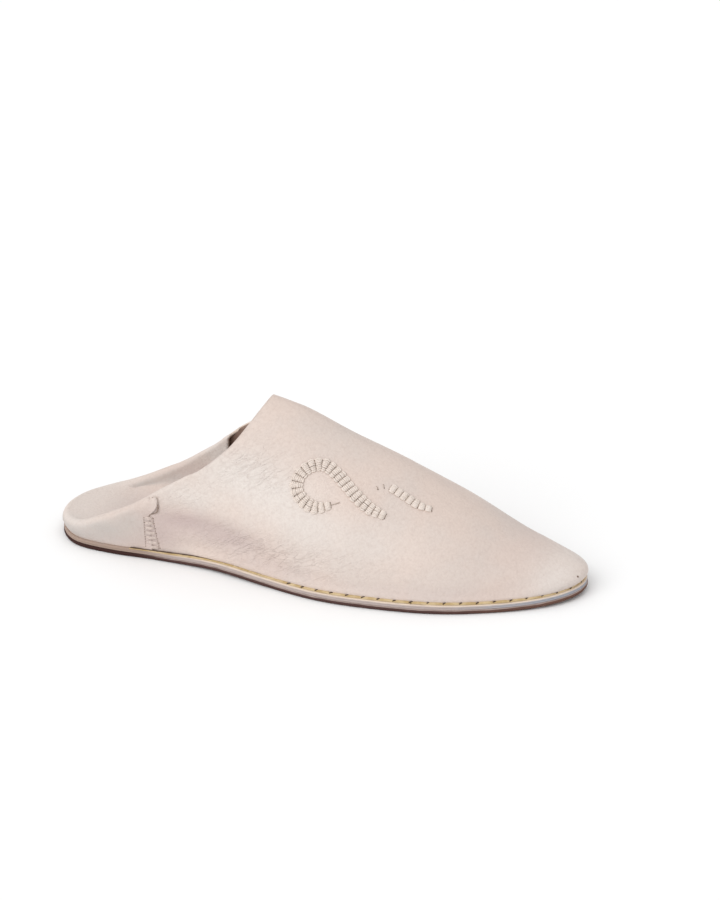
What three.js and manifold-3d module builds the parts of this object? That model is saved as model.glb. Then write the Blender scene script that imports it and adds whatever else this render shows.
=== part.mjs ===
// Babouche slipper, right shoe, women's EU 39: a flat leather mule with a pointed toe whose
// heel quarter is trodden down and folded in over the heel seat.
//
// Frame: millimetres, +X to the toe, +Y to the inner (medial) side, +Z up, origin under the
// middle of the shoe's box. Stations named x below run from the heel edge of the sole, 0, to its
// toe tip, SOLE_LENGTH. The shoe is built on those stations and shifted once, at the end.
import * as THREE from "three";
import { mergeVertices } from "three/addons/utils/BufferGeometryUtils.js";
import Module from "manifold-3d";

const wasm = await Module();
wasm.setup();

// ---------------------------------------------------------------- driving dimensions
const SOLE_LENGTH = 270;
const OUTSOLE_THICKNESS = 2.2;
const MIDSOLE_THICKNESS = 2.5;
const WELT_HEIGHT = 1.3;
const INSOLE_THICKNESS = 1.6;
const LAYER_GAP = 0.1; // flat layers of the bottom
const FIT_GAP = 0.3; // curved pieces
const UPPER_WALL = 1.6; // outer leather and lining of the vamp together
const QUARTER_WALL = 1.2; // the softer folded heel part
const COUNTER_THICKNESS = 1.0; // heel counter laid over the quarter

const ARCH_RISE = 0.8; // lift of the waist between heel and ball
const ARCH_SPAN = [62, 142];
const TOE_SPRING = 2.0; // lift of the toe tip
const TOE_SPRING_FROM = 226;

const MIDSOLE_INSET = 0.3; // edges measured in from the outsole's edge
const WELT_INSET = 0.8;
const WELT_FROM = 70; // the welt runs round the toe from seam to seam
const HEEL_INSET = 1.8; // foot of the upper at the heel
const FOREFOOT_INSET = 3.0; // foot of the upper past the waist
const INSET_SPAN = [58, 112];

const JOIN_X = 79; // vamp in front, folded heel part behind
const JOIN_LAP = 1.6; // the heel part's walls end inside the vamp's walls
const JOIN_DEPTH = 0.2; // how deep in those walls they lie
const COUNTER_FRONT = 66; // side seam
const COUNTER_TOP = 0.35; // share of the fold's roll that the counter still covers
const HEEL_POLE = 30; // centre that the heel's fold lines run to
const ROLL_END_LIFT = 0.3; // the roll turns into the flap this far over the floor
const FLAP_DROP = 0.6; // how far the flap keeps its slope, as a share of its drop
const FLAP_REACH = 0.3; // where it levels out, as a share of the way to the middle line

// Outsole edge: half widths on the outer (lateral) and inner (medial) side.
const OUTLINE = [
  { x: 0, lateral: 0, medial: 0 },
  { x: 6, lateral: 18.1, medial: 18.3 },
  { x: 18, lateral: 28.2, medial: 28.4 },
  { x: 40, lateral: 31.8, medial: 31.8 },
  { x: 65, lateral: 31.8, medial: 31.4 },
  { x: 95, lateral: 34.4, medial: 32.6 },
  { x: 125, lateral: 41.2, medial: 38.4 },
  { x: 155, lateral: 46.8, medial: 44.2 },
  { x: 185, lateral: 46.2, medial: 45.0 },
  { x: 210, lateral: 42.4, medial: 42.0 },
  { x: 235, lateral: 33.2, medial: 33.4 },
  { x: 255, lateral: 22.2, medial: 22.6 },
  { x: 266, lateral: 11.6, medial: 11.8 },
  { x: 270, lateral: 0, medial: 0 },
];

// Sections of the last over the foot: height of the crown over the floor, and the fullness of
// the section, where 2 is an ellipse and less is flatter in the flanks.
const SECTIONS = [
  { x: 60, crown: 96, fullness: 1.75 },
  { x: 80, crown: 90, fullness: 1.75 },
  { x: 104, crown: 82, fullness: 1.7 },
  { x: 118, crown: 79.4, fullness: 1.7 },
  { x: 132, crown: 75.4, fullness: 1.7 },
  { x: 151, crown: 66.6, fullness: 1.7 },
  { x: 177, crown: 55.6, fullness: 1.7 },
  { x: 206, crown: 42.2, fullness: 1.75 },
  { x: 234, crown: 26.8, fullness: 1.85 },
  { x: 252, crown: 19.4, fullness: 1.95 },
  { x: 264, crown: 15.2, fullness: 2.1 },
  { x: 270, crown: 10, fullness: 2.3 },
];

// Fold of the heel part: height of its ridge, radius of the roll, top of the flap's floor, and
// how far the wall bellies out.
const FOLDS = [
  { x: 0, ridge: 10.2, roll: 2.4, floor: 8.6, belly: 1.7 },
  { x: 10, ridge: 10.8, roll: 2.5, floor: 8.6, belly: 1.5 },
  { x: 20, ridge: 12.8, roll: 2.6, floor: 8.6, belly: 1.2 },
  { x: 32, ridge: 17.2, roll: 2.7, floor: 8.7, belly: 0.9 },
  { x: 46, ridge: 23.8, roll: 2.6, floor: 8.9, belly: 0.6 },
  { x: 58, ridge: 30.6, roll: 2.3, floor: 9.1, belly: 0.4 },
  { x: 68, ridge: 37, roll: 2.0, floor: 9.3, belly: 0.2 },
  { x: 80, ridge: 44.4, roll: 1.9, floor: 9.6, belly: 0.0 },
];

// Cut edge of the collar in side view, from the fold's end up to the peak and clear of it.
const COLLAR = [
  { x: 74, z: 42 },
  { x: 83, z: 45.6 },
  { x: 93, z: 52.2 },
  { x: 103.5, z: 62 },
  { x: 110.2, z: 71 },
  { x: 114.8, z: 78 },
  { x: 119, z: 85 },
];

// Cutters run clear of what they cut.
const CUTTER_HEIGHT = 130;
const CUTTER_WIDTH = 120;
const INNER_FORM_BACK = 9; // how far the hollow of the vamp's form runs out behind and below it
const INNER_FORM_DROP = 3;

// Free edge of the flap in plan: a half ellipse open to the toe.
const FLAP_EDGE = { x: 84, back: 17, side: 24.5 };

// Mesh steps, and the small turn that gives the sole edge its direction.
const EDGE_TURN = 0.01;
const EDGE_MERGE = 0.03; // edges shorter than this are merged after the cuts
const SOLE_STEPS = 40;
const VAMP_STEPS = 28;
const RIB_STEPS = 26;
const HEEL_STEPS = 28;
const WALL_STEPS = 5;
const ROLL_STEPS = 6;
const FLAP_STEPS = 6;

// ---------------------------------------------------------------- shape of the shoe
const smoothstep = (x, [from, to]) => THREE.MathUtils.smoothstep(x, from, to);
const angleOf = (x) => Math.acos(THREE.MathUtils.clamp(1 - (2 * x) / SOLE_LENGTH, -1, 1));
const stationOf = (angle) => (SOLE_LENGTH * (1 - Math.cos(angle))) / 2;

/** A smooth curve through a table's rows: gives all the named columns at x. */
function curveThrough(rows, abscissa = (x) => x) {
  const names = Object.keys(rows[0]).filter((name) => name !== "x");
  const values = rows.flatMap((row) => names.map((name) => row[name]));
  const places = rows.map((row) => abscissa(row.x));
  const curve = new THREE.CubicInterpolant(places, values, names.length, new Array(names.length));
  return (x) => {
    const found = curve.evaluate(abscissa(x));
    return Object.fromEntries(names.map((name, i) => [name, found[i]]));
  };
}

const outlineAt = curveThrough(OUTLINE, angleOf);
const sectionAt = curveThrough(SECTIONS, angleOf);
const foldAt = curveThrough(FOLDS);

/** Lift of the bottom over the floor: arch and toe spring. */
function riseAt(x) {
  const [from, to] = ARCH_SPAN;
  const arch = x > from && x < to ? Math.sin((Math.PI * (x - from)) / (to - from)) ** 2 : 0;
  const spring = Math.max(0, (x - TOE_SPRING_FROM) / (SOLE_LENGTH - TOE_SPRING_FROM));
  return ARCH_RISE * arch + TOE_SPRING * spring ** 2;
}

/** Point of the outsole's edge; side is -1 on the outer side and 1 on the inner side. */
function edgePoint(angle, side) {
  const half = outlineAt(stationOf(angle))[side < 0 ? "lateral" : "medial"];
  return new THREE.Vector2(stationOf(angle), side * half * Math.sign(Math.sin(angle) || 1));
}

/** The same point moved square to the edge, in towards the middle of the sole. */
function insetPoint(angle, side, inset) {
  if (angle <= 0) return new THREE.Vector2(inset, 0);
  if (angle >= Math.PI) return new THREE.Vector2(SOLE_LENGTH - inset, 0);
  const ahead = edgePoint(angle + EDGE_TURN, side);
  const along = ahead.sub(edgePoint(angle - EDGE_TURN, side)).normalize();
  const inward = new THREE.Vector2(along.y, -along.x).multiplyScalar(side);
  return edgePoint(angle, side).addScaledVector(inward, inset);
}

/** How far the foot of the upper stands in from the outsole's edge. */
const upperInset = (x) => THREE.MathUtils.lerp(HEEL_INSET, FOREFOOT_INSET, smoothstep(x, INSET_SPAN));

const MIDSOLE_BASE = OUTSOLE_THICKNESS + LAYER_GAP;
const FOOT_LEVEL = MIDSOLE_BASE + MIDSOLE_THICKNESS + LAYER_GAP; // what stands on the midsole

/** Point of the last: across runs from -1, outer foot, over the crown at 0, to 1, inner foot. */
function lastPoint(angle, across, depth) {
  const x = stationOf(angle);
  const side = across < 0 ? -1 : 1;
  const climb = ((1 - Math.abs(across)) * Math.PI) / 2;
  const inset = upperInset(x) + depth;
  const foot = insetPoint(angle, side, inset);
  const spine = (insetPoint(angle, 1, inset).x + insetPoint(angle, -1, inset).x) / 2;
  const { crown, fullness } = sectionAt(x);
  const level = riseAt(x) + FOOT_LEVEL;
  const power = 2 / fullness;
  const rise = Math.sin(climb) ** power;
  return new THREE.Vector3(
    THREE.MathUtils.lerp(foot.x, spine, Math.sin(climb)),
    across === 0 ? 0 : foot.y * Math.cos(climb) ** power,
    level + (crown + riseAt(x) - level - depth) * rise,
  );
}

// ---------------------------------------------------------------- meshes and solids
/** Two triangles for each cell of a grid of points, turned over when flipped. */
function pushGrid(triangles, grid, flipped = false) {
  for (let i = 0; i + 1 < grid.length; i++)
    for (let j = 0; j + 1 < grid[i].length; j++) {
      const [a, b, c, d] = [grid[i][j], grid[i + 1][j], grid[i + 1][j + 1], grid[i][j + 1]];
      triangles.push(...(flipped ? [a, c, b, a, d, c] : [a, b, c, a, c, d]));
    }
}

/** A solid from loose triangles: shared corners are merged and collapsed triangles dropped. */
function solidOf(triangles) {
  const loose = new THREE.BufferGeometry().setFromPoints(triangles);
  const merged = mergeVertices(loose, 1e-3);
  const index = merged.index.array;
  const kept = [];
  for (let i = 0; i < index.length; i += 3) {
    const [a, b, c] = index.slice(i, i + 3);
    if (a !== b && b !== c && c !== a) kept.push(a, b, c);
  }
  return new wasm.Manifold(
    new wasm.Mesh({
      numProp: 3,
      vertProperties: merged.attributes.position.array,
      triVerts: new Uint32Array(kept),
    }),
  );
}

/** A solid from a closed three.js geometry. */
function solidOfGeometry(geometry) {
  const loose = geometry.index ? geometry.toNonIndexed() : geometry;
  const position = loose.getAttribute("position");
  const points = Array.from({ length: position.count }, (_, i) =>
    new THREE.Vector3().fromBufferAttribute(position, i),
  );
  return solidOf(points);
}

/**
 * The solid between two grids of the same size, front facing out, closed round its border. Where
 * the last column already meets itself, as on the heel's middle line, that side stays open.
 */
function sheetSolid(front, back, meetsItself = false) {
  const triangles = [];
  pushGrid(triangles, front);
  pushGrid(triangles, back, true);
  pushGrid(triangles, [front[0], back[0]], true);
  pushGrid(triangles, [front.at(-1), back.at(-1)]);
  pushGrid(triangles, [front.map((row) => row[0]), back.map((row) => row[0])]);
  const lastColumns = [front, back].map((grid) => grid.map((row) => row.at(-1)));
  if (!meetsItself) pushGrid(triangles, lastColumns, true);
  return solidOf(triangles);
}

const steps = (from, to, count) =>
  Array.from({ length: count + 1 }, (_, i) => THREE.MathUtils.lerp(from, to, i / count));

/** A sole layer: the outline moved in by inset, between two heights over the rising bottom. */
function layerSolid(inset, base, top) {
  const across = [-1, -0.5, 0, 0.5, 1];
  const surface = (height) =>
    steps(0, Math.PI, SOLE_STEPS).map((angle) =>
      across.map((share) => {
        const side = share < 0 ? -1 : 1;
        const edge = insetPoint(angle, side, inset(stationOf(angle)));
        const other = insetPoint(angle, -side, inset(stationOf(angle)));
        const x = THREE.MathUtils.lerp((edge.x + other.x) / 2, edge.x, Math.abs(share));
        return new THREE.Vector3(x, edge.y * Math.abs(share), riseAt(x) + height);
      }),
    );
  return sheetSolid(surface(top), surface(base));
}

/** A closed form of the last at a depth under its surface, from a station to the toe. */
function lastSolid(depth, from, skirt) {
  const ribs = steps(angleOf(from), Math.PI, VAMP_STEPS).map((angle) => {
    const rib = steps(-1, 1, RIB_STEPS).map((across) => lastPoint(angle, across, depth));
    const drop = new THREE.Vector3(0, 0, skirt);
    return [rib[0].clone().sub(drop), ...rib, rib.at(-1).clone().sub(drop)];
  });
  const triangles = [];
  pushGrid(triangles, ribs);
  pushGrid(triangles, ribs.map((rib) => [rib.at(-1), rib[0]]));
  const back = ribs[0];
  const half = (back.length - 1) / 2;
  const fold = [back.slice(0, half + 1), back.slice(half).reverse()];
  pushGrid(triangles, fold, true);
  return solidOf(triangles);
}

/** Everything above and behind the collar's cut edge. */
function collarCutter() {
  const line = COLLAR.map(({ x, z }) => new THREE.Vector2(x, z));
  const shape = new THREE.Shape();
  shape.moveTo(line[0].x, line[0].y);
  shape.splineThru(line.slice(1));
  shape.lineTo(line.at(-1).x, CUTTER_HEIGHT);
  shape.lineTo(line[0].x, CUTTER_HEIGHT);
  const geometry = new THREE.ExtrudeGeometry(shape, {
    depth: CUTTER_WIDTH,
    bevelEnabled: false,
    curveSegments: 24,
  });
  return solidOfGeometry(geometry.rotateX(Math.PI / 2).translate(0, CUTTER_WIDTH / 2, 0));
}

/** Section of the folded heel, from the foot over the roll to the shoe's middle line. */
function foldSection(x, reach, depth) {
  const { ridge, roll, floor, belly } = foldAt(x);
  const level = FOOT_LEVEL + riseAt(x);
  const { crown, fullness } = sectionAt(Math.max(x, SECTIONS[0].x));
  const lean = (z) => {
    const climb = ((z - level) / (crown - level)) ** fullness;
    return reach * (1 - (1 - climb) ** (1 / fullness));
  };
  const centre = new THREE.Vector2(lean(ridge - roll) + roll + depth, ridge - roll);
  const wallTop = ridge - roll;
  const wall = steps(level, wallTop, WALL_STEPS).map((z) => {
    const share = (z - level) / (wallTop - level);
    return new THREE.Vector2(depth + lean(z) - belly * Math.sin(Math.PI * share), z);
  });
  const end = Math.asin(THREE.MathUtils.clamp((floor + ROLL_END_LIFT - centre.y) / roll, 0, 0.9));
  const arc = steps(Math.PI, end, ROLL_STEPS)
    .slice(1)
    .map((a) => new THREE.Vector2(Math.cos(a), Math.sin(a)).multiplyScalar(roll).add(centre));
  const from = arc.at(-1);
  const drop = from.y - floor;
  const flap = new THREE.CubicBezierCurve(
    from,
    new THREE.Vector2(Math.sin(end), -Math.cos(end)).multiplyScalar(FLAP_DROP * drop).add(from),
    new THREE.Vector2(THREE.MathUtils.lerp(from.x, reach, FLAP_REACH), floor),
    new THREE.Vector2(reach, floor),
  );
  return [...wall, ...arc, ...flap.getPoints(FLAP_STEPS).slice(1)];
}

/** The same section moved square to itself, to its right as it is drawn, and not below its foot. */
function offsetSection(section, distance) {
  return section.map((point, i) => {
    const before = section[Math.max(i - 1, 0)];
    const after = section[Math.min(i + 1, section.length - 1)];
    const along = after.clone().sub(before).normalize();
    if (i === 0) along.set(0, 1);
    if (i === section.length - 1) along.set(1, 0);
    const moved = point.clone().addScaledVector(new THREE.Vector2(along.y, -along.x), distance);
    return moved.setY(Math.max(moved.y, section[0].y));
  });
}

/** Grid of points of the heel's fold, ray by ray from one side round the back to the other. */
function foldGrid(front, depth, offset, keep = Infinity) {
  const rays = steps(angleOf(front), -angleOf(front), HEEL_STEPS);
  return rays.map((signed) => {
    const angle = Math.abs(signed);
    const side = signed < 0 ? -1 : 1;
    const x = stationOf(angle);
    const foot = insetPoint(angle, side, upperInset(x));
    const axis = new THREE.Vector2(Math.max(x, HEEL_POLE), 0);
    const reach = foot.distanceTo(axis);
    const section = offsetSection(foldSection(x, reach, depth), offset).slice(0, keep);
    const inward = axis.clone().sub(foot).normalize();
    return section.map(({ x: along, y: height }) => {
      const plan = along >= reach - 1e-6 ? axis : foot.clone().addScaledVector(inward, along);
      return new THREE.Vector3(plan.x, plan.y, height);
    });
  });
}

/** Shape of the flap's free edge, as a tall cutter. */
function flapCutter() {
  const { x, back, side } = FLAP_EDGE;
  const shape = new THREE.Shape();
  shape.absellipse(x, 0, back, side, Math.PI / 2, (3 * Math.PI) / 2, false);
  const geometry = new THREE.ExtrudeGeometry(shape, {
    depth: CUTTER_HEIGHT,
    bevelEnabled: false,
    curveSegments: 20,
  });
  return solidOfGeometry(geometry);
}

// ---------------------------------------------------------------- the pieces
function makeOutsole() {
  return layerSolid(() => 0, 0, OUTSOLE_THICKNESS);
}

function makeMidsole() {
  return layerSolid(() => MIDSOLE_INSET, MIDSOLE_BASE, MIDSOLE_BASE + MIDSOLE_THICKNESS);
}

function makeInsole() {
  const inset = (x) => upperInset(x) + UPPER_WALL + FIT_GAP;
  return layerSolid(inset, FOOT_LEVEL, FOOT_LEVEL + INSOLE_THICKNESS);
}

function makeWelt() {
  const from = angleOf(WELT_FROM);
  const turns = steps(-(Math.PI - from), Math.PI - from, 2 * SOLE_STEPS);
  const edge = (inset, height) =>
    turns.map((turn) => {
      const angle = Math.PI - Math.abs(turn);
      const point = insetPoint(angle, turn < 0 ? -1 : 1, inset(stationOf(angle)));
      return new THREE.Vector3(point.x, point.y, riseAt(point.x) + FOOT_LEVEL + height);
    });
  const outer = () => WELT_INSET;
  const inner = (x) => upperInset(x) - FIT_GAP;
  const top = [edge(inner, WELT_HEIGHT), edge(outer, WELT_HEIGHT)];
  const base = [edge(inner, 0), edge(outer, 0)];
  return sheetSolid(top, base);
}

function makeUpper() {
  const vamp = lastSolid(0, JOIN_X, 0)
    .subtract(lastSolid(UPPER_WALL, JOIN_X - INNER_FORM_BACK, INNER_FORM_DROP))
    .subtract(collarCutter());
  const front = JOIN_X + JOIN_LAP;
  const heel = sheetSolid(
    foldGrid(front, JOIN_DEPTH, 0),
    foldGrid(front, JOIN_DEPTH, QUARTER_WALL),
    true,
  ).subtract(flapCutter());
  return vamp.add(heel).asOriginal().simplify(EDGE_MERGE);
}

function makeCounter() {
  const keep = WALL_STEPS + 1 + Math.round(ROLL_STEPS * COUNTER_TOP);
  return sheetSolid(
    foldGrid(COUNTER_FRONT, JOIN_DEPTH, -FIT_GAP - COUNTER_THICKNESS, keep),
    foldGrid(COUNTER_FRONT, JOIN_DEPTH, -FIT_GAP, keep),
  );
}

// ---------------------------------------------------------------- finishes and assembly
const FINISHES = {
  cream_leather: { color: 0xe3d3c8, roughness: 0.55, metalness: 0 },
  heel_leather: { color: 0xdccdc2, roughness: 0.55, metalness: 0 },
  yellow_rand: { color: 0xc9ae8a, roughness: 0.7, metalness: 0 },
  pale_edge: { color: 0xb9aaa2, roughness: 0.75, metalness: 0 },
  brown_sole_leather: { color: 0x5f4a44, roughness: 0.65, metalness: 0 },
  sock_leather: { color: 0xd8c6b4, roughness: 0.7, metalness: 0 },
};

function meshOf(name, solid, finish) {
  const { vertProperties, triVerts } = solid.getMesh();
  const geometry = new THREE.BufferGeometry();
  geometry.setAttribute("position", new THREE.BufferAttribute(vertProperties, 3));
  geometry.setIndex(new THREE.BufferAttribute(triVerts, 1));
  geometry.computeVertexNormals();
  const mesh = new THREE.Mesh(geometry, new THREE.MeshStandardMaterial(FINISHES[finish]));
  mesh.name = name;
  return mesh;
}

const shoe = new THREE.Group();
shoe.add(
  meshOf("outsole", makeOutsole(), "brown_sole_leather"),
  meshOf("midsole", makeMidsole(), "pale_edge"),
  meshOf("welt", makeWelt(), "yellow_rand"),
  meshOf("insole", makeInsole(), "sock_leather"),
  meshOf("upper", makeUpper(), "cream_leather"),
  meshOf("heel_counter", makeCounter(), "heel_leather"),
);

// The origin goes under the middle of the whole shoe's box.
const middle = new THREE.Box3().setFromObject(shoe).getCenter(new THREE.Vector3());
shoe.position.set(-middle.x, -middle.y, 0);

export default shoe;
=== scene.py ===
"""Babouche slipper, right shoe: the finished look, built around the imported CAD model.

Sizes are in millimetres on the shoe's own stations: x from the heel edge of the sole, 0, to the
toe tip, y to the inner (medial) side and z up from the floor. Last.row turns a station point into
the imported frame, which is in metres.
"""

import logging
import math
from bisect import bisect_right
from collections.abc import Callable, Sequence
from dataclasses import dataclass, field
from enum import Enum
from typing import NamedTuple

import bmesh
import bpy
from mathutils import Matrix, Vector, noise
from mathutils.bvhtree import BVHTree
from mathutils.kdtree import KDTree


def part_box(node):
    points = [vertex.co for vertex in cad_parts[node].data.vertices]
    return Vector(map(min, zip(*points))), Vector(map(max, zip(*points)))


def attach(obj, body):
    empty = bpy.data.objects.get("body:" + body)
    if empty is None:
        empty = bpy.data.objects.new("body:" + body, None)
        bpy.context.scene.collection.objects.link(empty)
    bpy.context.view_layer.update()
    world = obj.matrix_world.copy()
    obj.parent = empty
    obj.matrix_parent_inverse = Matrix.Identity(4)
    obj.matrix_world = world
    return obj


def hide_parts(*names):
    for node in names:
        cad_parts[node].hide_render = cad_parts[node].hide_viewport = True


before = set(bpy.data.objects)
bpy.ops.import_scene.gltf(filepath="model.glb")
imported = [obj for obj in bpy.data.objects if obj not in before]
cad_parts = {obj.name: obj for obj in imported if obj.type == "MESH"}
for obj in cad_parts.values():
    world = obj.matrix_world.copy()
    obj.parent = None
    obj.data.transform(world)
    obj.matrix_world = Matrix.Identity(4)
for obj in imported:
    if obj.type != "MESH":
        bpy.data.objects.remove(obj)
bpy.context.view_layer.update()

LOG = logging.getLogger("babouche")
MM = 0.001
MERGE = 2e-6  # metres: corners closer than this are one
LEVEL_SCALE = 10  # mm that a value of 1 in the level attribute stands for
NOISE_SEED = 7  # noise_vector follows the clock when it is not seeded


class Side(Enum):
    """A side of the shoe, by the sign of y."""

    LATERAL = -1
    MEDIAL = 1


# ---------------------------------------------------------------- tables of the shoe's form
class OutlineRow(NamedTuple):
    """Half widths of the sole's edge at a station."""

    x: float
    lateral: float
    medial: float


class SectionRow(NamedTuple):
    """Crown height of the last and fullness of its section, where 2 is an ellipse."""

    x: float
    crown: float
    fullness: float


class FoldRow(NamedTuple):
    """Trodden heel at a station: ridge height, roll radius, flap height, belly of the wall."""

    x: float
    ridge: float
    roll: float
    floor: float
    belly: float


class CollarRow(NamedTuple):
    """Height of the collar's cut edge at a station."""

    x: float
    height: float


class SeamRow(NamedTuple):
    """Station of the quarter's front edge at a height, with its tab under the fold."""

    x: float  # the height, which is this table's abscissa
    station: float


OUTLINE = (
    OutlineRow(0, 0, 0),
    OutlineRow(6, 18.1, 18.3),
    OutlineRow(18, 28.2, 28.4),
    OutlineRow(40, 31.8, 31.8),
    OutlineRow(65, 31.8, 31.4),
    OutlineRow(95, 34.4, 32.6),
    OutlineRow(125, 41.2, 38.4),
    OutlineRow(155, 46.8, 44.2),
    OutlineRow(185, 46.2, 45.0),
    OutlineRow(210, 42.4, 42.0),
    OutlineRow(235, 33.2, 33.4),
    OutlineRow(255, 22.2, 22.6),
    OutlineRow(266, 11.6, 11.8),
    OutlineRow(270, 0, 0),
)
SECTIONS = (
    SectionRow(60, 96, 1.75),
    SectionRow(80, 90, 1.75),
    SectionRow(104, 82, 1.7),
    SectionRow(118, 79.4, 1.7),
    SectionRow(132, 75.4, 1.7),
    SectionRow(151, 66.6, 1.7),
    SectionRow(177, 55.6, 1.7),
    SectionRow(206, 42.2, 1.75),
    SectionRow(234, 26.8, 1.85),
    SectionRow(252, 19.4, 1.95),
    SectionRow(264, 15.2, 2.1),
    SectionRow(270, 10, 2.3),
)
FOLDS = (
    FoldRow(0, 10.2, 2.6, 9.6, 1.7),
    FoldRow(10, 10.9, 3.0, 9.6, 1.5),
    FoldRow(20, 12.9, 3.6, 9.6, 1.2),
    FoldRow(32, 17.3, 3.9, 9.6, 0.9),
    FoldRow(46, 23.9, 3.6, 9.5, 0.6),
    FoldRow(58, 30.7, 3.0, 9.4, 0.4),
    FoldRow(68, 37, 2.4, 9.3, 0.2),
    FoldRow(80, 44.4, 1.9, 9.6, 0.0),
)
COLLAR = (
    CollarRow(80, 44.4),
    CollarRow(86, 47.4),
    CollarRow(93, 52.2),
    CollarRow(103.5, 62),
    CollarRow(110.2, 71),
    CollarRow(114.8, 78),
    CollarRow(119, 85),
)
SEAM = (
    SeamRow(5, 62.4),
    SeamRow(14, 62.2),
    SeamRow(21.6, 61.8),
    SeamRow(23.2, 61.8),
    SeamRow(24.4, 64.6),
    SeamRow(25.8, 66.1),
    SeamRow(28.2, 66.4),
    SeamRow(30.4, 65.6),
    SeamRow(32.6, 63.2),
    SeamRow(34, 61.4),
)


def smoothstep(x: float, low: float, high: float) -> float:
    """0 below low, 1 above high and a smooth rise between them."""
    share = min(max((x - low) / (high - low), 0.0), 1.0)
    return share * share * (3 - 2 * share)


def lerp(start: float, end: float, share: float) -> float:
    """The value at a share of the way from start to end."""
    return start + (end - start) * share


class TableCurve:
    """A smooth curve through a table's rows: each row's first column is its place."""

    def __init__(self, rows: Sequence[tuple], place: Callable[[float], float] | None = None) -> None:
        """Reads the table.

        Args:
            rows: named rows in rising order of their first column.
            place: turns that column into the spacing that the curve runs over.
        """
        self._place = place or float
        self._knots = [self._place(row[0]) for row in rows]
        self._values = [tuple(row[1:]) for row in rows]

    def __call__(self, x: float) -> tuple[float, ...]:
        """The columns' values at x.

        Args:
            x: a value of the first column, held inside the table.

        Returns:
            One value for each further column.
        """
        knots = self._knots
        t = min(max(self._place(x), knots[0]), knots[-1])
        i = min(max(bisect_right(knots, t), 1), len(knots) - 1)
        before = i - 2 if i > 1 else i
        after = i + 1 if i + 1 < len(knots) else i - 1
        half = (knots[i] - knots[i - 1]) / 2
        lead = half / (knots[i - 1] - knots[before])
        trail = half / (knots[after] - knots[i])
        p = (t - knots[i - 1]) / (2 * half)
        p2 = p * p
        p3 = p2 * p
        weights = (
            -lead * p3 + 2 * lead * p2 - lead * p,
            (1 + lead) * p3 - (1.5 + 2 * lead) * p2 + (lead - 0.5) * p + 1,
            -(1 + trail) * p3 + (1.5 + trail) * p2 + 0.5 * p,
            trail * p3 - trail * p2,
        )
        rows = (self._values[before], self._values[i - 1], self._values[i], self._values[after])
        return tuple(
            sum(weight * row[column] for weight, row in zip(weights, rows))
            for column in range(len(rows[0]))
        )


def smooth_path(points: Sequence[Vector], count: int) -> list[Vector]:
    """Points spread evenly along a smooth curve through a few points.

    Args:
        points: the given points, all of one dimension.
        count: how many steps the result has.

    Returns:
        count + 1 points, the first and last of them the given ends.
    """
    dense: list[Vector] = []
    last = len(points) - 1
    parts = 16
    for i in range(last):
        before, start, end, after = (points[min(max(k, 0), last)] for k in range(i - 1, i + 3))
        for k in range(parts):
            t = k / parts
            dense.append(
                0.5
                * (
                    2 * start
                    + (end - before) * t
                    + (2 * before - 5 * start + 4 * end - after) * t**2
                    + (3 * start - before - 3 * end + after) * t**3
                )
            )
    dense.append(points[-1].copy())
    return evenly_spaced(dense, count)


def running_length(points: Sequence[Vector]) -> list[float]:
    """Length of a line up to each of its points.

    Args:
        points: the line's points.

    Returns:
        One length for each point, the first of them 0.
    """
    reach = [0.0]
    for start, end in zip(points, points[1:]):
        reach.append(reach[-1] + (end - start).length)
    return reach


def evenly_spaced(points: Sequence[Vector], count: int) -> list[Vector]:
    """The same line with count even steps.

    Args:
        points: the line's points.
        count: how many steps the result has.

    Returns:
        count + 1 points.
    """
    reach = running_length(points)
    found = []
    for k in range(count + 1):
        goal = reach[-1] * k / count
        i = min(max(bisect_right(reach, goal), 1), len(points) - 1)
        span = max(reach[i] - reach[i - 1], 1e-9)
        found.append(points[i - 1].lerp(points[i], (goal - reach[i - 1]) / span))
    return found


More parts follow.
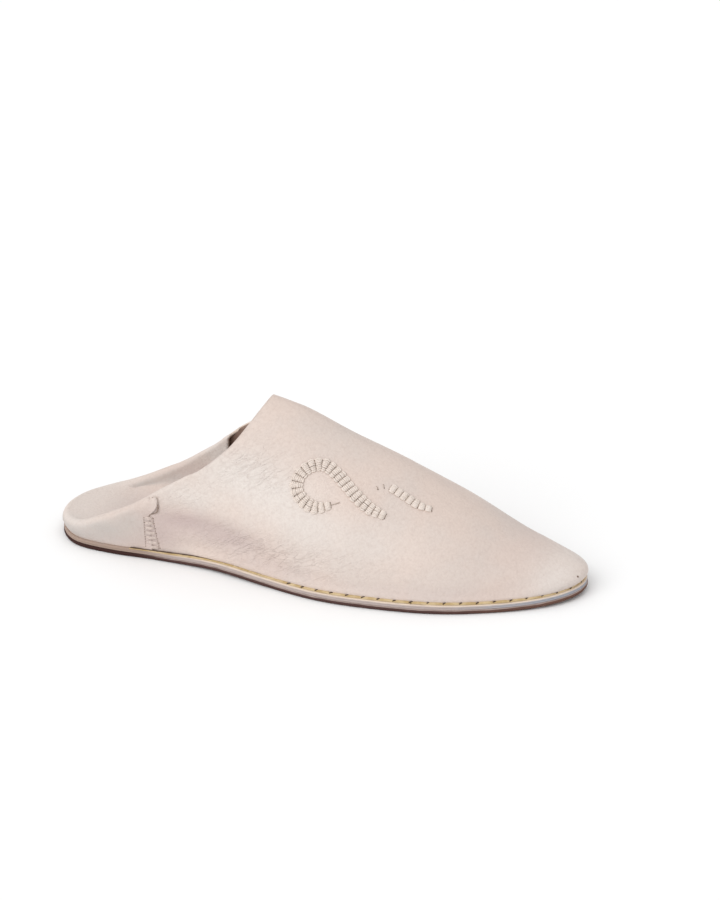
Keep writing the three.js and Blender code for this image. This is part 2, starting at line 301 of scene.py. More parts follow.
# ---------------------------------------------------------------- the form
@dataclass
class Last:
    """The form that the shoe is made over, with its sole edge and its trodden heel.

    Its sizes follow the CAD model, so a surface made here lies close to that model's surface, but
    for the heel's roll, which is softer, the flap's front edge, which is 2.5 mm shorter, the inner
    side's collar, which stands up to 3.2 mm higher, and the midsole's top with all that stands on
    it, which is pared down by 0.5 mm.
    """

    length: float = 270.0
    outsole: float = 2.2
    midsole: float = 2.5
    insole: float = 1.6
    layer_gap: float = 0.1
    arch_rise: float = 0.8
    arch_from: float = 62.0
    arch_to: float = 142.0
    toe_spring: float = 2.0
    spring_from: float = 226.0
    heel_inset: float = 1.8
    forefoot_inset: float = 3.0
    inset_from: float = 58.0
    inset_to: float = 112.0
    heel_pole: float = 30.0
    fold_end: float = 80.0  # the heel is folded right down behind this station
    bend_from: float = 90.0  # and its edge starts to curl in at this one
    bend_square: float = 84.5  # where it lies over at a right angle
    bend_down: float = 83.0  # and where it hangs down inside
    bend_radius: float = 1.6
    fold_depth: float = 0.2
    roll_end_lift: float = 1.3  # the roll turns into the flap this far over the flap's height
    pared: float = 0.5  # taken off the midsole's top
    flap_drop: float = 0.6  # how far the flap keeps its slope, as a share of its drop
    flap_reach: float = 0.3  # where it levels out, as a share of the way to the middle line
    steepest: float = 0.985  # sine of the turn at which the roll has to end
    least_slope: float = 0.15  # keeps the flap's first stretch from growing without end
    flap_corner: float = 0.36  # share of the flap that hangs against the wall
    flap_front: float = 81.5
    flap_back: float = 14.5
    medial_lift: float = 3.2  # the inner side of the collar stands higher by this
    lift_middle: float = 90.0
    lift_span: float = 18.0
    outline: TableCurve = field(init=False)
    sections: TableCurve = field(init=False)
    folds: TableCurve = field(init=False)
    collar: TableCurve = field(init=False)
    shift: Vector = field(init=False)

    def __post_init__(self) -> None:
        """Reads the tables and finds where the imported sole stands."""
        self.outline = TableCurve(OUTLINE, self.angle)
        self.sections = TableCurve(SECTIONS, self.angle)
        self.folds = TableCurve(FOLDS)
        self.collar = TableCurve(COLLAR)
        low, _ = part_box("outsole")
        widest = max(self.outline(self.station(math.pi * i / 40))[0] for i in range(41))
        self.shift = Vector((low.x / MM, low.y / MM + widest, 0.0))

    @property
    def foot_level(self) -> float:
        """Height of the midsole's pared top, which the upper stands on."""
        return self.outsole + self.midsole + 2 * self.layer_gap - self.pared

    def angle(self, x: float) -> float:
        """Turn round the sole at a station: 0 at the heel edge and pi at the toe tip."""
        return math.acos(min(max(1 - 2 * x / self.length, -1.0), 1.0))

    def station(self, angle: float) -> float:
        """Station at a turn round the sole."""
        return self.length * (1 - math.cos(angle)) / 2

    def row(self, point: Vector) -> Vector:
        """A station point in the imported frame, in metres."""
        return (point + self.shift) * MM

    def station_of(self, point: Vector) -> float:
        """Station of a packed point."""
        return point.x / MM - self.shift.x

    def rise(self, x: float) -> float:
        """Lift of the bottom over the floor: arch and toe spring.

        Args:
            x: the station.

        Returns:
            The lift in mm.
        """
        span = (x - self.arch_from) / (self.arch_to - self.arch_from)
        arch = math.sin(math.pi * span) ** 2 if 0 < span < 1 else 0.0
        spring = max(0.0, (x - self.spring_from) / (self.length - self.spring_from))
        return self.arch_rise * arch + self.toe_spring * spring**2

    def edge(self, angle: float, side: int) -> Vector:
        """Point of the sole's edge in plan.

        Args:
            angle: turn round the sole.
            side: -1 on the outer side, 1 on the inner.

        Returns:
            The point in plan.
        """
        lateral, medial = self.outline(self.station(angle))
        half = lateral if side < 0 else medial
        return Vector((self.station(angle), side * half * math.copysign(1, math.sin(angle))))

    def inset(self, angle: float, side: int, distance: float) -> Vector:
        """Point of the sole's edge moved square to it, in towards the middle.

        Args:
            angle: turn round the sole.
            side: -1 on the outer side, 1 on the inner.
            distance: how far it moves in.

        Returns:
            The point in plan.
        """
        turn = 0.01
        if angle <= 1e-6:
            return Vector((distance, 0.0))
        if angle >= math.pi - 1e-6:
            return Vector((self.length - distance, 0.0))
        along = (self.edge(angle + turn, side) - self.edge(angle - turn, side)).normalized()
        return self.edge(angle, side) + Vector((along.y, -along.x)) * side * distance

    def upper_inset(self, x: float) -> float:
        """How far the foot of the upper stands in from the sole's edge."""
        return lerp(self.heel_inset, self.forefoot_inset, smoothstep(x, self.inset_from, self.inset_to))

    def rib(self, angle: float, side: int, climb: float, depth: float = 0.0) -> Vector:
        """Point of the last's surface.

        Args:
            angle: turn round the sole.
            side: -1 on the outer side, 1 on the inner.
            climb: 0 at the foot and half pi at the crown.
            depth: how far under the surface.

        Returns:
            The station point.
        """
        x = self.station(angle)
        foot = self.inset(angle, side, self.upper_inset(x) + depth)
        other = self.inset(angle, -side, self.upper_inset(x) + depth)
        crown, fullness = self.sections(x)
        level = self.rise(x) + self.foot_level
        sine = math.sin(climb)
        cosine = max(math.cos(climb), 0.0) if climb < math.pi / 2 - 1e-6 else 0.0
        return Vector(
            (
                lerp(foot.x, (foot.x + other.x) / 2, sine),
                foot.y * cosine ** (2 / fullness),
                level + (crown + self.rise(x) - level - depth) * sine ** (2 / fullness),
            )
        )

    def edge_height(self, x: float, side: int) -> float:
        """Height of the fold's ridge, and of the collar's cut edge in front of it.

        Args:
            x: the station.
            side: -1 on the outer side, 1 on the inner.

        Returns:
            The height over the floor.
        """
        base = self.folds(x)[0] if x <= self.fold_end else self.collar(x)[0]
        away = abs(x - self.lift_middle) / self.lift_span
        lift = self.medial_lift * math.cos(math.pi / 2 * min(away, 1.0)) ** 2
        return base + (lift if side > 0 else 0.0)

    def wall_top(self, x: float, side: int) -> tuple[float, float]:
        """Height where the wall turns into the roll, and the roll's radius.

        Args:
            x: the station.
            side: -1 on the outer side, 1 on the inner.

        Returns:
            The height and the radius.
        """
        _, roll, _, _ = self.folds(x)
        radius = lerp(roll, self.bend_radius, smoothstep(x, self.fold_end, self.bend_from))
        bend = min(max((self.bend_from - x) / (self.bend_from - self.bend_square), 0.0), 1.0)
        return self.edge_height(x, side) - radius * math.sin(bend * math.pi / 2), radius

    def climb_at(self, x: float, height: float) -> float:
        """Climb on the last's section at which it has a height.

        Args:
            x: the station.
            height: height over the floor.

        Returns:
            0 at the foot and half pi at the crown.
        """
        crown, fullness = self.sections(x)
        level = self.rise(x) + self.foot_level
        share = (height - level) / (crown + self.rise(x) - level)
        return math.asin(min(max(share, 0.0), 1.0) ** (fullness / 2))

    def fold(self, signed: float, share: float) -> Vector:
        """Point of the trodden heel, from the foot of its wall over the roll to the flap.

        Args:
            signed: turn round the sole, below 0 on the outer side.
            share: 0 to 1 up the wall, 1 to 2 round the roll, 2 to 3 along the flap.

        Returns:
            The station point.
        """
        angle = abs(signed)
        side = -1 if signed < 0 else 1
        x = self.station(angle)
        foot = self.inset(angle, side, self.upper_inset(x))
        axis = Vector((max(x, self.heel_pole), 0.0))
        reach = (axis - foot).length
        front = smoothstep(x, self.fold_end, self.bend_from)
        here = self.section(x, side, reach, share, 1 - front)
        plan = foot.lerp(axis, here.x / reach)
        if front > 0:
            other = self.inset(angle, -side, self.upper_inset(x))
            sine = math.sin(self.climb_at(x, min(here.y, self.wall_top(x, side)[0])))
            along = lerp(foot.x, (foot.x + other.x) / 2, sine)
            square = Vector((along, foot.y * (1 - here.x / reach)))
            plan = plan.lerp(square, front)
        return Vector((plan.x, plan.y, here.y))

    def section(self, x: float, side: int, reach: float, share: float, folded: float) -> Vector:
        """Point of the heel's section in its own plane.

        Args:
            x: the station.
            side: -1 on the outer side, 1 on the inner.
            reach: distance in plan from the foot to the heel's middle line.
            share: place along the section, as in fold.
            folded: 1 behind the fold's end, fading to 0 in front of it.

        Returns:
            Distance in from the foot, and height.
        """
        _, _, floor, belly = self.folds(x)
        top, radius = self.wall_top(x, side)
        level = self.rise(x) + self.foot_level
        crown, fullness = self.sections(x)
        limit = self.climb_at(x, top)

        def wall(part: float) -> Vector:
            """Point of the wall at a share of its height.

            Args:
                part: 0 at the foot and 1 at the roll.

            Returns:
                Distance in from the foot, and height.
            """
            climb = part * limit
            height = level + (crown + self.rise(x) - level) * math.sin(climb) ** (2 / fullness)
            lean = reach * (1 - math.cos(climb) ** (2 / fullness))
            up = min(max((height - level) / (top - level), 0.0), 1.0)
            swell = belly * math.sin(math.pi / 2 * up)
            return Vector((lean + self.fold_depth * folded - swell, height))

        if share <= 1:
            return wall(share)
        end = wall(1.0)
        along = (end - wall(0.97)).normalized()
        centre = end + Vector((along.y, -along.x)) * radius
        start_turn = math.atan2(along.x, -along.y) % (2 * math.pi)
        end_sine = (floor + self.roll_end_lift - centre.y) / radius
        end_turn = math.asin(min(max(end_sine, 0.0), self.steepest))
        turn = lerp(start_turn, end_turn, min(share - 1, 1.0))
        point = centre + Vector((math.cos(turn), math.sin(turn))) * radius
        if share <= 2:
            return point
        slope = Vector((math.sin(end_turn), -math.cos(end_turn)))
        run = self.flap_drop * (point.y - floor) / max(math.cos(end_turn), self.least_slope)
        knots = (
            point,
            point + slope * run,
            Vector((lerp(point.x, reach, self.flap_reach), floor)),
            Vector((reach, floor)),
        )
        t = share - 2
        weights = ((1 - t) ** 3, 3 * t * (1 - t) ** 2, 3 * t**2 * (1 - t), t**3)
        return sum((weight * knot for weight, knot in zip(weights, knots)), Vector((0.0, 0.0)))

    def fold_front(self, share: float) -> float:
        """Station of the heel leather's free front edge for a share of its section.

        Args:
            share: place along the section, as in fold.

        Returns:
            The station.
        """
        if share <= 1:
            return self.bend_from
        if share <= 2:
            turned = (share - 1) * 2
            if turned <= 1:
                return lerp(self.bend_from, self.bend_square, turned)
            return lerp(self.bend_square, self.bend_down, turned - 1)
        flat = (share - 2 - self.flap_corner) / (1 - self.flap_corner)
        if flat <= 0:
            back = -flat * (1 - self.flap_corner) / self.flap_corner
            return lerp(self.flap_front, self.bend_down, back)
        return self.flap_front - self.flap_back * math.sqrt(1 - (1 - flat) ** 2)

    def collar_station(self, climb: float, side: int) -> float:
        """Station at which the collar's cut edge has a climb.

        Args:
            climb: 0 at the foot and half pi at the crown.
            side: -1 on the outer side, 1 on the inner.

        Returns:
            The station.
        """
        low, high = self.bend_from, COLLAR[-1].x
        for _ in range(32):
            middle = (low + high) / 2
            if self.rib(self.angle(middle), side, climb).z > self.edge_height(middle, side):
                low = middle
            else:
                high = middle
        return (low + high) / 2

    def side_point(self, x: float, height: float, side: Side) -> Vector:
        """Point of the upper's side at a station and a height."""
        return self.rib(self.angle(x), side.value, self.climb_at(x, height))


# ---------------------------------------------------------------- mesh helpers
def new_grid(columns: int, rows: int, place: Callable[[float, float], Vector]) -> bmesh.types.BMesh:
    """A grid of cells laid over a surface.

    Args:
        columns: cells in the first direction.
        rows: cells in the second direction.
        place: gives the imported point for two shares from 0 to 1.

    Returns:
        The mesh, with corners that fall together merged.
    """
    mesh = bmesh.new()
    bmesh.ops.create_grid(mesh, x_segments=columns, y_segments=rows, size=0.5)
    for vert in mesh.verts:
        vert.co = place(vert.co.x + 0.5, vert.co.y + 0.5)
    bmesh.ops.remove_doubles(mesh, verts=mesh.verts, dist=MERGE)
    return mesh


def joined(parts: Sequence[bmesh.types.BMesh]) -> bmesh.types.BMesh:
    """One mesh from several, which are freed.

    Args:
        parts: the meshes.

    Returns:
        The one mesh.
    """
    whole = bmesh.new()
    for part in parts:
        copy = bpy.data.meshes.new("part")
        part.to_mesh(copy)
        part.free()
        whole.from_mesh(copy)
        bpy.data.meshes.remove(copy)
    return whole


def turn_sheet(sheet: bmesh.types.BMesh, way: int) -> None:
    """Turns an open sheet so that its farthest corner along x, way 1, or back, -1, faces out.

    Args:
        sheet: the sheet.
        way: 1 for the farthest corner forwards, -1 for the farthest back.
    """
    bmesh.ops.recalc_face_normals(sheet, faces=sheet.faces)
    sheet.normal_update()
    far = max(sheet.verts, key=lambda vert: vert.co.x * way)
    if far.normal.x * way < 0:
        bmesh.ops.reverse_faces(sheet, faces=sheet.faces)


def move_corners(
    mesh: bmesh.types.BMesh, move: Callable[[bmesh.types.BMVert], Vector]
) -> None:
    """Moves each corner by a vector worked out while all still stand where they were.

    Args:
        mesh: the mesh.
        move: gives a corner's step in metres.
    """
    mesh.normal_update()
    moves = [move(vert) for vert in mesh.verts]
    for vert, step in zip(mesh.verts, moves):
        vert.co += step


def ball(centre: Vector, radius: float) -> bmesh.types.BMesh:
    """A small faceted ball at a packed point, with its radius in mm.

    Args:
        centre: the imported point.
        radius: its radius in mm.

    Returns:
        The closed mesh.
    """
    mesh = bmesh.new()
    bmesh.ops.create_icosphere(mesh, subdivisions=1, radius=radius * MM)
    bmesh.ops.translate(mesh, verts=mesh.verts, vec=centre)
    return mesh


def tube(points: Sequence[Vector], radius: Callable[[float], float], sides: int) -> bmesh.types.BMesh:
    """A tube along points, closed to a point at both ends.

    Args:
        points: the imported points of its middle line.
        radius: gives the radius in metres at a share of its length.
        sides: how many faces go round it.

    Returns:
        The closed mesh.
    """
    last = len(points) - 1
    along = [(points[min(i + 1, last)] - points[max(i - 1, 0)]).normalized() for i in range(last + 1)]
    across = [along[0].orthogonal().normalized()]
    for direction in along[1:]:
        carried = across[-1] - direction * across[-1].dot(direction)
        across.append(carried.normalized())

    def place(u: float, v: float) -> Vector:
        """Point of the tube's skin for two shares.

        Args:
            u: share of the way in the grid's first direction.
            v: share of the way in its second direction.

        Returns:
            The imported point.
        """
        i = round(u * last)
        turn = 2 * math.pi * v
        spoke = across[i] * math.cos(turn) + along[i].cross(across[i]) * math.sin(turn)
        return points[i] + spoke * (0.0 if i in (0, last) else radius(u))

    return new_grid(last, sides, place)


def finish_piece(
    name: str, mesh: bmesh.types.BMesh, finishes: Sequence[bpy.types.Material]
) -> bpy.types.Object:
    """Makes a shown piece from a mesh.

    Args:
        name: the piece's name.
        mesh: its mesh, which is freed.
        finishes: its materials.

    Returns:
        The object, riding on the shoe.
    """
    data = bpy.data.meshes.new(name)
    for face in mesh.faces:
        face.smooth = True
    mesh.to_mesh(data)
    mesh.free()
    piece = bpy.data.objects.new(name, data)
    bpy.context.scene.collection.objects.link(piece)
    for finish in finishes:
        data.materials.append(finish)
    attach(piece, "root")
    LOG.info("%s: %d faces", name, len(data.polygons))
    return piece


def add_wall(piece: bpy.types.Object, thickness: float, inwards: bool = True) -> None:
    """Gives a sheet its thickness; its further materials, if any, go inside and on the cut edge.

    Args:
        piece: the sheet.
        thickness: its thickness in mm.
        inwards: whether it grows in from the face, or else out.
    """
    wall = piece.modifiers.new("wall", "SOLIDIFY")
    wall.thickness = thickness * MM
    wall.offset = -1 if inwards else 1
    last_slot = len(piece.data.materials) - 1
    wall.material_offset = min(1, last_slot)
    wall.material_offset_rim = min(2, last_slot)


# ---------------------------------------------------------------- shader helpers
class Wire:
    """A value in a shader tree. Python's operators on it add Math nodes."""

    def __init__(self, graph: "NodeTree", socket: bpy.types.NodeSocket) -> None:
        """Wraps a node's output socket."""
        self.graph = graph
        self.socket = socket

    def _math(self, operation: str, first: "Wire | float", second: "Wire | float") -> "Wire":
        """Adds a Math node on two values."""
        return self.graph.node("ShaderNodeMath", {"operation": operation}, {0: first, 1: second})

    def __add__(self, other: "Wire | float") -> "Wire":
        """This value plus another."""
        return self._math("ADD", self, other)

    def __radd__(self, other: float) -> "Wire":
        """A number plus this value."""
        return self._math("ADD", other, self)

    def __sub__(self, other: "Wire | float") -> "Wire":
        """This value less another."""
        return self._math("SUBTRACT", self, other)

    def __rsub__(self, other: float) -> "Wire":
        """A number less this value."""
        return self._math("SUBTRACT", other, self)

    def __mul__(self, other: "Wire | float") -> "Wire":
        """This value times another."""
        return self._math("MULTIPLY", self, other)

    def __rmul__(self, other: float) -> "Wire":
        """A number times this value."""
        return self._math("MULTIPLY", other, self)


Colour = tuple[float, float, float]


def srgb(red: int, green: int, blue: int) -> Colour:
    """A colour named by its screen values, as linear light.

    Args:
        red: 0 to 255.
        green: 0 to 255.
        blue: 0 to 255.

    Returns:
        The colour's linear parts.
    """
    parts = []
    for value in (red, green, blue):
        share = value / 255
        parts.append(share / 12.92 if share <= 0.04045 else ((share + 0.055) / 1.055) ** 2.4)
    return tuple(parts)


class NodeTree:
    """A shader tree, whose nodes all come from one method."""

    def __init__(self, tree: bpy.types.NodeTree) -> None:
        """Wraps the tree."""
        self.tree = tree

    def add(self, kind: str, settings: dict, sockets: dict) -> bpy.types.Node:
        """Adds a node.

        Args:
            kind: its type.
            settings: its properties, which are set first.
            sockets: a Wire or a value for inputs, by name or number.

        Returns:
            The node.
        """
        made = self.tree.nodes.new(kind)
        for name, value in settings.items():
            setattr(made, name, value)
        for name, value in sockets.items():
            self.feed(made.inputs[name], value)
        return made

    def feed(self, socket: bpy.types.NodeSocket, value: "Wire | float | tuple") -> None:
        """Links a Wire into a socket, or sets the socket to a value.

        Args:
            socket: the input.
            value: the Wire or the value.
        """
        if isinstance(value, Wire):
            self.tree.links.new(value.socket, socket)
        else:
            socket.default_value = value

    def node(self, kind: str, settings: dict, sockets: dict) -> Wire:
        """Adds a node as add does and gives the output that "output" in its settings picks."""
        own = {name: value for name, value in settings.items() if name != "output"}
        return Wire(self, self.add(kind, own, sockets).outputs[settings.get("output", 0)])


class Graph(NodeTree):
    """The node tree of one finish, ending in a Principled shader."""

    def __init__(self, name: str) -> None:
        """Starts a material with that name.

        Args:
            name: the material's name.
        """
        self.material = bpy.data.materials.new(name)
        self.material.use_nodes = True
        super().__init__(self.material.node_tree)
        self.tree.nodes.clear()
        self.shader = self.add("ShaderNodeBsdfPrincipled", {}, {})
        self.add("ShaderNodeOutputMaterial", {}, {"Surface": Wire(self, self.shader.outputs[0])})
        self.place = self.node("ShaderNodeTexCoord", {"output": "Object"}, {})

    def mapped(self, scale: Colour, turn: Colour = (0.0, 0.0, 0.0)) -> Wire:
        """Object coordinates turned and scaled to repeats for each millimetre.

        Args:
            scale: repeats for each millimetre along each axis.
            turn: rotation about each axis, made before the scaling.

        Returns:
            The coordinates.
        """
        per_metre = tuple(value / MM for value in scale)
        turned = self.node(
            "ShaderNodeMapping", {"vector_type": "POINT"}, {"Vector": self.place, "Rotation": turn}
        )
        return self.node("ShaderNodeVectorMath", {"operation": "MULTIPLY"}, {0: turned, 1: per_metre})

    def grain(self, scale: Colour, detail: float = 2.0, turn: Colour = (0.0, 0.0, 0.0)) -> Wire:
        """Soft noise with that many repeats for each millimetre along each axis.

        Args:
            scale: repeats for each millimetre along each axis.
            detail: how many finer layers it has.
            turn: rotation about each axis.

        Returns:
            The noise, around 0.5.
        """
        return self.node(
            "ShaderNodeTexNoise",
            {"output": "Fac"},
            {"Vector": self.mapped(scale, turn), "Scale": 1.0, "Detail": detail},
        )

    def cells(self, scale: Colour) -> Wire:
        """Distance from the middle of rounded cells, for pebbled leather.

        Args:
            scale: cells for each millimetre along each axis.

        Returns:
            The distance, in cells.
        """
        return self.node(
            "ShaderNodeTexVoronoi",
            {"feature": "SMOOTH_F1", "output": "Distance"},
            {"Vector": self.mapped(scale), "Scale": 1.0, "Smoothness": 0.35},
        )

    def between(self, value: Wire, low: float, high: float) -> Wire:
        """A value spread smoothly from 0 at low to 1 at high.

        Args:
            value: what is spread.
            low: where the result is 0.
            high: where it is 1.

        Returns:
            The result, held from 0 to 1.
        """
        return self.node(
            "ShaderNodeMapRange",
            {"interpolation_type": "SMOOTHSTEP"},
            {"Value": value, "From Min": low, "From Max": high},
        )

    def lines(self, value: Wire, half: float) -> Wire:
        """Thin lines where a noise passes its middle value, 1 on the line and 0 beside it."""
        away = self.node("ShaderNodeMath", {"operation": "ABSOLUTE"}, {0: value - 0.5})
        return self.between(away, half, 0.0)

    def attribute(self, name: str, channel: str) -> Wire:
        """One channel of a piece's own colour attribute."""
        colour = self.node("ShaderNodeAttribute", {"attribute_name": name, "output": "Color"}, {})
        return self.node("ShaderNodeSeparateColor", {"output": channel}, {0: colour})

    def mix(self, share: "Wire | float", first: "Wire | Colour", second: "Wire | Colour") -> Wire:
        """A colour between two.

        Args:
            share: 0 for the first colour and 1 for the second.
            first: a colour.
            second: a colour.

        Returns:
            The mixed colour.
        """
        pair = [(*part, 1.0) if isinstance(part, tuple) else part for part in (first, second)]
        return self.node(
            "ShaderNodeMix", {"data_type": "RGBA", "output": 2}, {0: share, 6: pair[0], 7: pair[1]}
        )

    def set(self, **values: "Wire | float | Colour") -> None:
        """Sets the shader's sockets by name, with _ for a space.

        Args:
            values: a Wire, a number or a colour for each named socket.
        """
        for name, value in values.items():
            socket = self.shader.inputs[name.replace("_", " ").title().replace("Ior", "IOR")]
            self.feed(socket, (*value, 1.0) if isinstance(value, tuple) else value)

    def bump(self, height: Wire, distance: float) -> None:
        """Feeds a height into the shader's normal, with its depth in millimetres."""
        sockets = {"Height": height, "Distance": distance * MM, "Strength": 1.0}
        self.feed(self.shader.inputs["Normal"], self.node("ShaderNodeBump", {}, sockets))


# ---------------------------------------------------------------- finishes
@dataclass(frozen=True)
class SoftLeather:
    """Soft pebbled sheep leather with painted highlights and painted shade, for the vamp and the quarter."""

    name: str = "soft_leather"
    body: Colour = srgb(215, 198, 188)
    cool: Colour = srgb(211, 198, 190)
    # colour of the painted highlight on the sides, the heel flap and the toe
    painted_highlight: Colour = srgb(221, 214, 208)
    shade: Colour = srgb(190, 172, 168)
    # colour of the painted shade on upright faces at the heel and the toe
    painted_upright_shade: Colour = srgb(187, 180, 175)
    # colour of the painted shade in the wrinkles' valleys, and of the mottle and the pebble grain
    crease_shade_and_grain: Colour = srgb(176, 156, 146)
    cell: float = 0.95
    depth: float = 0.12

    def make(self) -> bpy.types.Material:
        """The material, whose tone attribute holds painted highlight, painted shade, wrinkles and painted
        shade on upright faces.

        Returns:
            The leather.
        """
        graph = Graph(self.name)
        patches = graph.between(graph.grain((0.035, 0.035, 0.035), 3.0), 0.35, 0.68)
        # tone channels: red painted highlight, green painted shade, blue wrinkle strength, alpha painted
        # shade on upright faces
        painted_highlight = graph.attribute("tone", "Red")
        shade = graph.attribute("tone", "Green")
        crinkle = graph.attribute("tone", "Blue")
        painted_upright_shade = graph.node("ShaderNodeAttribute", {"attribute_name": "tone", "output": "Alpha"}, {})
        pebbles = graph.cells((self.cell, self.cell, self.cell))
        fine = graph.grain((2.6, 2.6, 2.6), 2.0)
        streaks = graph.grain((0.75, 0.75, 0.14), 2.0, (0.0, 0.12, 0.0))
        long_lines = graph.lines(graph.grain((0.08, 0.2, 0.42), 2.0, (0.0, 0.62, 0.0)), 0.05)
        short_lines = graph.lines(graph.grain((0.2, 0.3, 0.6), 1.5, (0.0, 0.3, 0.0)), 0.06)
        wrinkles = long_lines + short_lines * 0.7
        valleys = wrinkles * (crinkle + 0.12)
        colour = graph.mix(patches, self.body, self.cool)
        # painted light from the tone attribute: highlight, shade in the troughs, shade on upright faces
        colour = graph.mix(painted_highlight, colour, self.painted_highlight)
        colour = graph.mix(shade, colour, self.shade)
        colour = graph.mix(painted_upright_shade, colour, self.painted_upright_shade)
        # painted shade in the wrinkles' valleys
        colour = graph.mix(valleys * 0.22, colour, self.crease_shade_and_grain)
        mottle = graph.between(graph.grain((0.55, 0.55, 0.4), 3.0, (0.0, 0.4, 0.0)), 0.42, 0.7)
        colour = graph.mix(mottle * 0.1, colour, self.crease_shade_and_grain)
        colour = graph.mix(graph.between(pebbles, 0.4, 0.85) * 0.12, colour, self.crease_shade_and_grain)
        colour = graph.mix(graph.between(streaks, 0.5, 0.75) * 0.1, colour, self.shade)
        rough = 0.5 + patches * 0.08 + fine * 0.08
        graph.set(base_color=colour, roughness=rough, specular_ior_level=0.35)
        height = fine * 0.35 - pebbles * 0.8 + streaks * 1.1 - valleys * 1.6
        graph.bump(height, self.depth)
        return graph.material


@dataclass(frozen=True)
class PlainLeather:
    """Leather or suede of one colour with a worn grain, for linings and the sock."""

    name: str
    body: Colour
    worn: Colour
    spread: float = 0.05
    roughness: float = 0.72
    depth: float = 0.05

    def make(self) -> bpy.types.Material:
        """The material.

        Returns:
            The leather.
        """
        graph = Graph(self.name)
        patches = graph.between(graph.grain((self.spread,) * 3, 4.0), 0.38, 0.64)
        nap = graph.grain((3.2, 3.2, 3.2), 3.0)
        colour = graph.mix(patches, self.body, self.worn)
        colour = graph.mix(graph.between(nap, 0.35, 0.75) * 0.25, colour, self.worn)
        graph.set(base_color=colour, roughness=self.roughness + nap * 0.12, specular_ior_level=0.25)
        graph.bump(nap + graph.cells((0.9, 0.9, 0.9)) * -0.6, self.depth)
        return graph.material


@dataclass(frozen=True)
class BandedEdge:
    """A pared leather edge whose colour changes with its own level and along the shoe.

    The level attribute holds each corner's height over the rising bottom, in centimetres, so the
    colour bands keep their heights where the toe springs up.
    """

    name: str
    low: Colour
    high: Colour
    toe: Colour
    heel: Colour
    split: float  # height over the rising bottom at which the colours change, in mm
    blend: float = 0.2
    toe_from: float = 70.0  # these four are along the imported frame's x, in mm
    toe_to: float = 125.0
    heel_from: float = -55.0
    heel_to: float = -85.0
    roughness: float = 0.68

    def make(self) -> bpy.types.Material:
        """The material.

        Returns:
            The edge's finish.
        """
        graph = Graph(self.name)
        across = graph.node("ShaderNodeSeparateXYZ", {"output": "X"}, {0: graph.place}) * 1000
        upright = graph.attribute("level", "Red") * LEVEL_SCALE
        wobble = graph.grain((0.12, 0.12, 0.3), 3.0) - 0.5
        level = graph.between(upright + wobble * 0.5, self.split - self.blend, self.split + self.blend)
        front = graph.between(across + wobble * 30.0, self.toe_from, self.toe_to)
        back = graph.between(across, self.heel_from, self.heel_to)
        fibre = graph.grain((0.25, 0.25, 2.4), 3.0)
        colour = graph.mix(level, graph.mix(front, self.low, self.toe), self.high)
        colour = graph.mix(back, colour, self.heel)
        dark = tuple(part * 0.62 for part in self.low)
        colour = graph.mix(graph.between(fibre, 0.5, 0.75) * 0.35, colour, dark)
        graph.set(base_color=colour, roughness=self.roughness + fibre * 0.12, specular_ior_level=0.1)
        graph.bump(fibre + graph.grain((1.4, 1.4, 1.4), 2.0), 0.12)
        return graph.material


@dataclass(frozen=True)
class Thread:
    """Twisted thread."""

    name: str
    body: Colour
    dark: Colour
    twist: float = 1.5

    def make(self) -> bpy.types.Material:
        """The material.

        Returns:
            The thread's finish.
        """
        graph = Graph(self.name)
        fibre = graph.grain((self.twist, self.twist, self.twist), 3.0)
        spots = graph.grain((0.3, 0.3, 0.3), 2.0)
        colour = graph.mix(graph.between(fibre, 0.38, 0.72) * 0.6, self.body, self.dark)
        colour = graph.mix(graph.between(spots, 0.5, 0.75) * 0.4, colour, self.dark)
        graph.set(base_color=colour, roughness=0.6, specular_ior_level=0.3)
        graph.bump(fibre, 0.09)
        return graph.material


@dataclass(frozen=True)
class Plain:
    """A single even colour."""

    name: str
    body: Colour
    roughness: float = 0.9

    def make(self) -> bpy.types.Material:
        """The material.

        Returns:
            The finish.
        """
        graph = Graph(self.name)
        graph.set(base_color=self.body, roughness=self.roughness, specular_ior_level=0.0)
        return graph.material


# ---------------------------------------------------------------- creases
class Crease(NamedTuple):
    """A soft trough on the upper's side: its points as (station, height), depth and width."""

    points: tuple[tuple[float, float], ...]
    depth: float
    width: float
    side: Side = Side.LATERAL


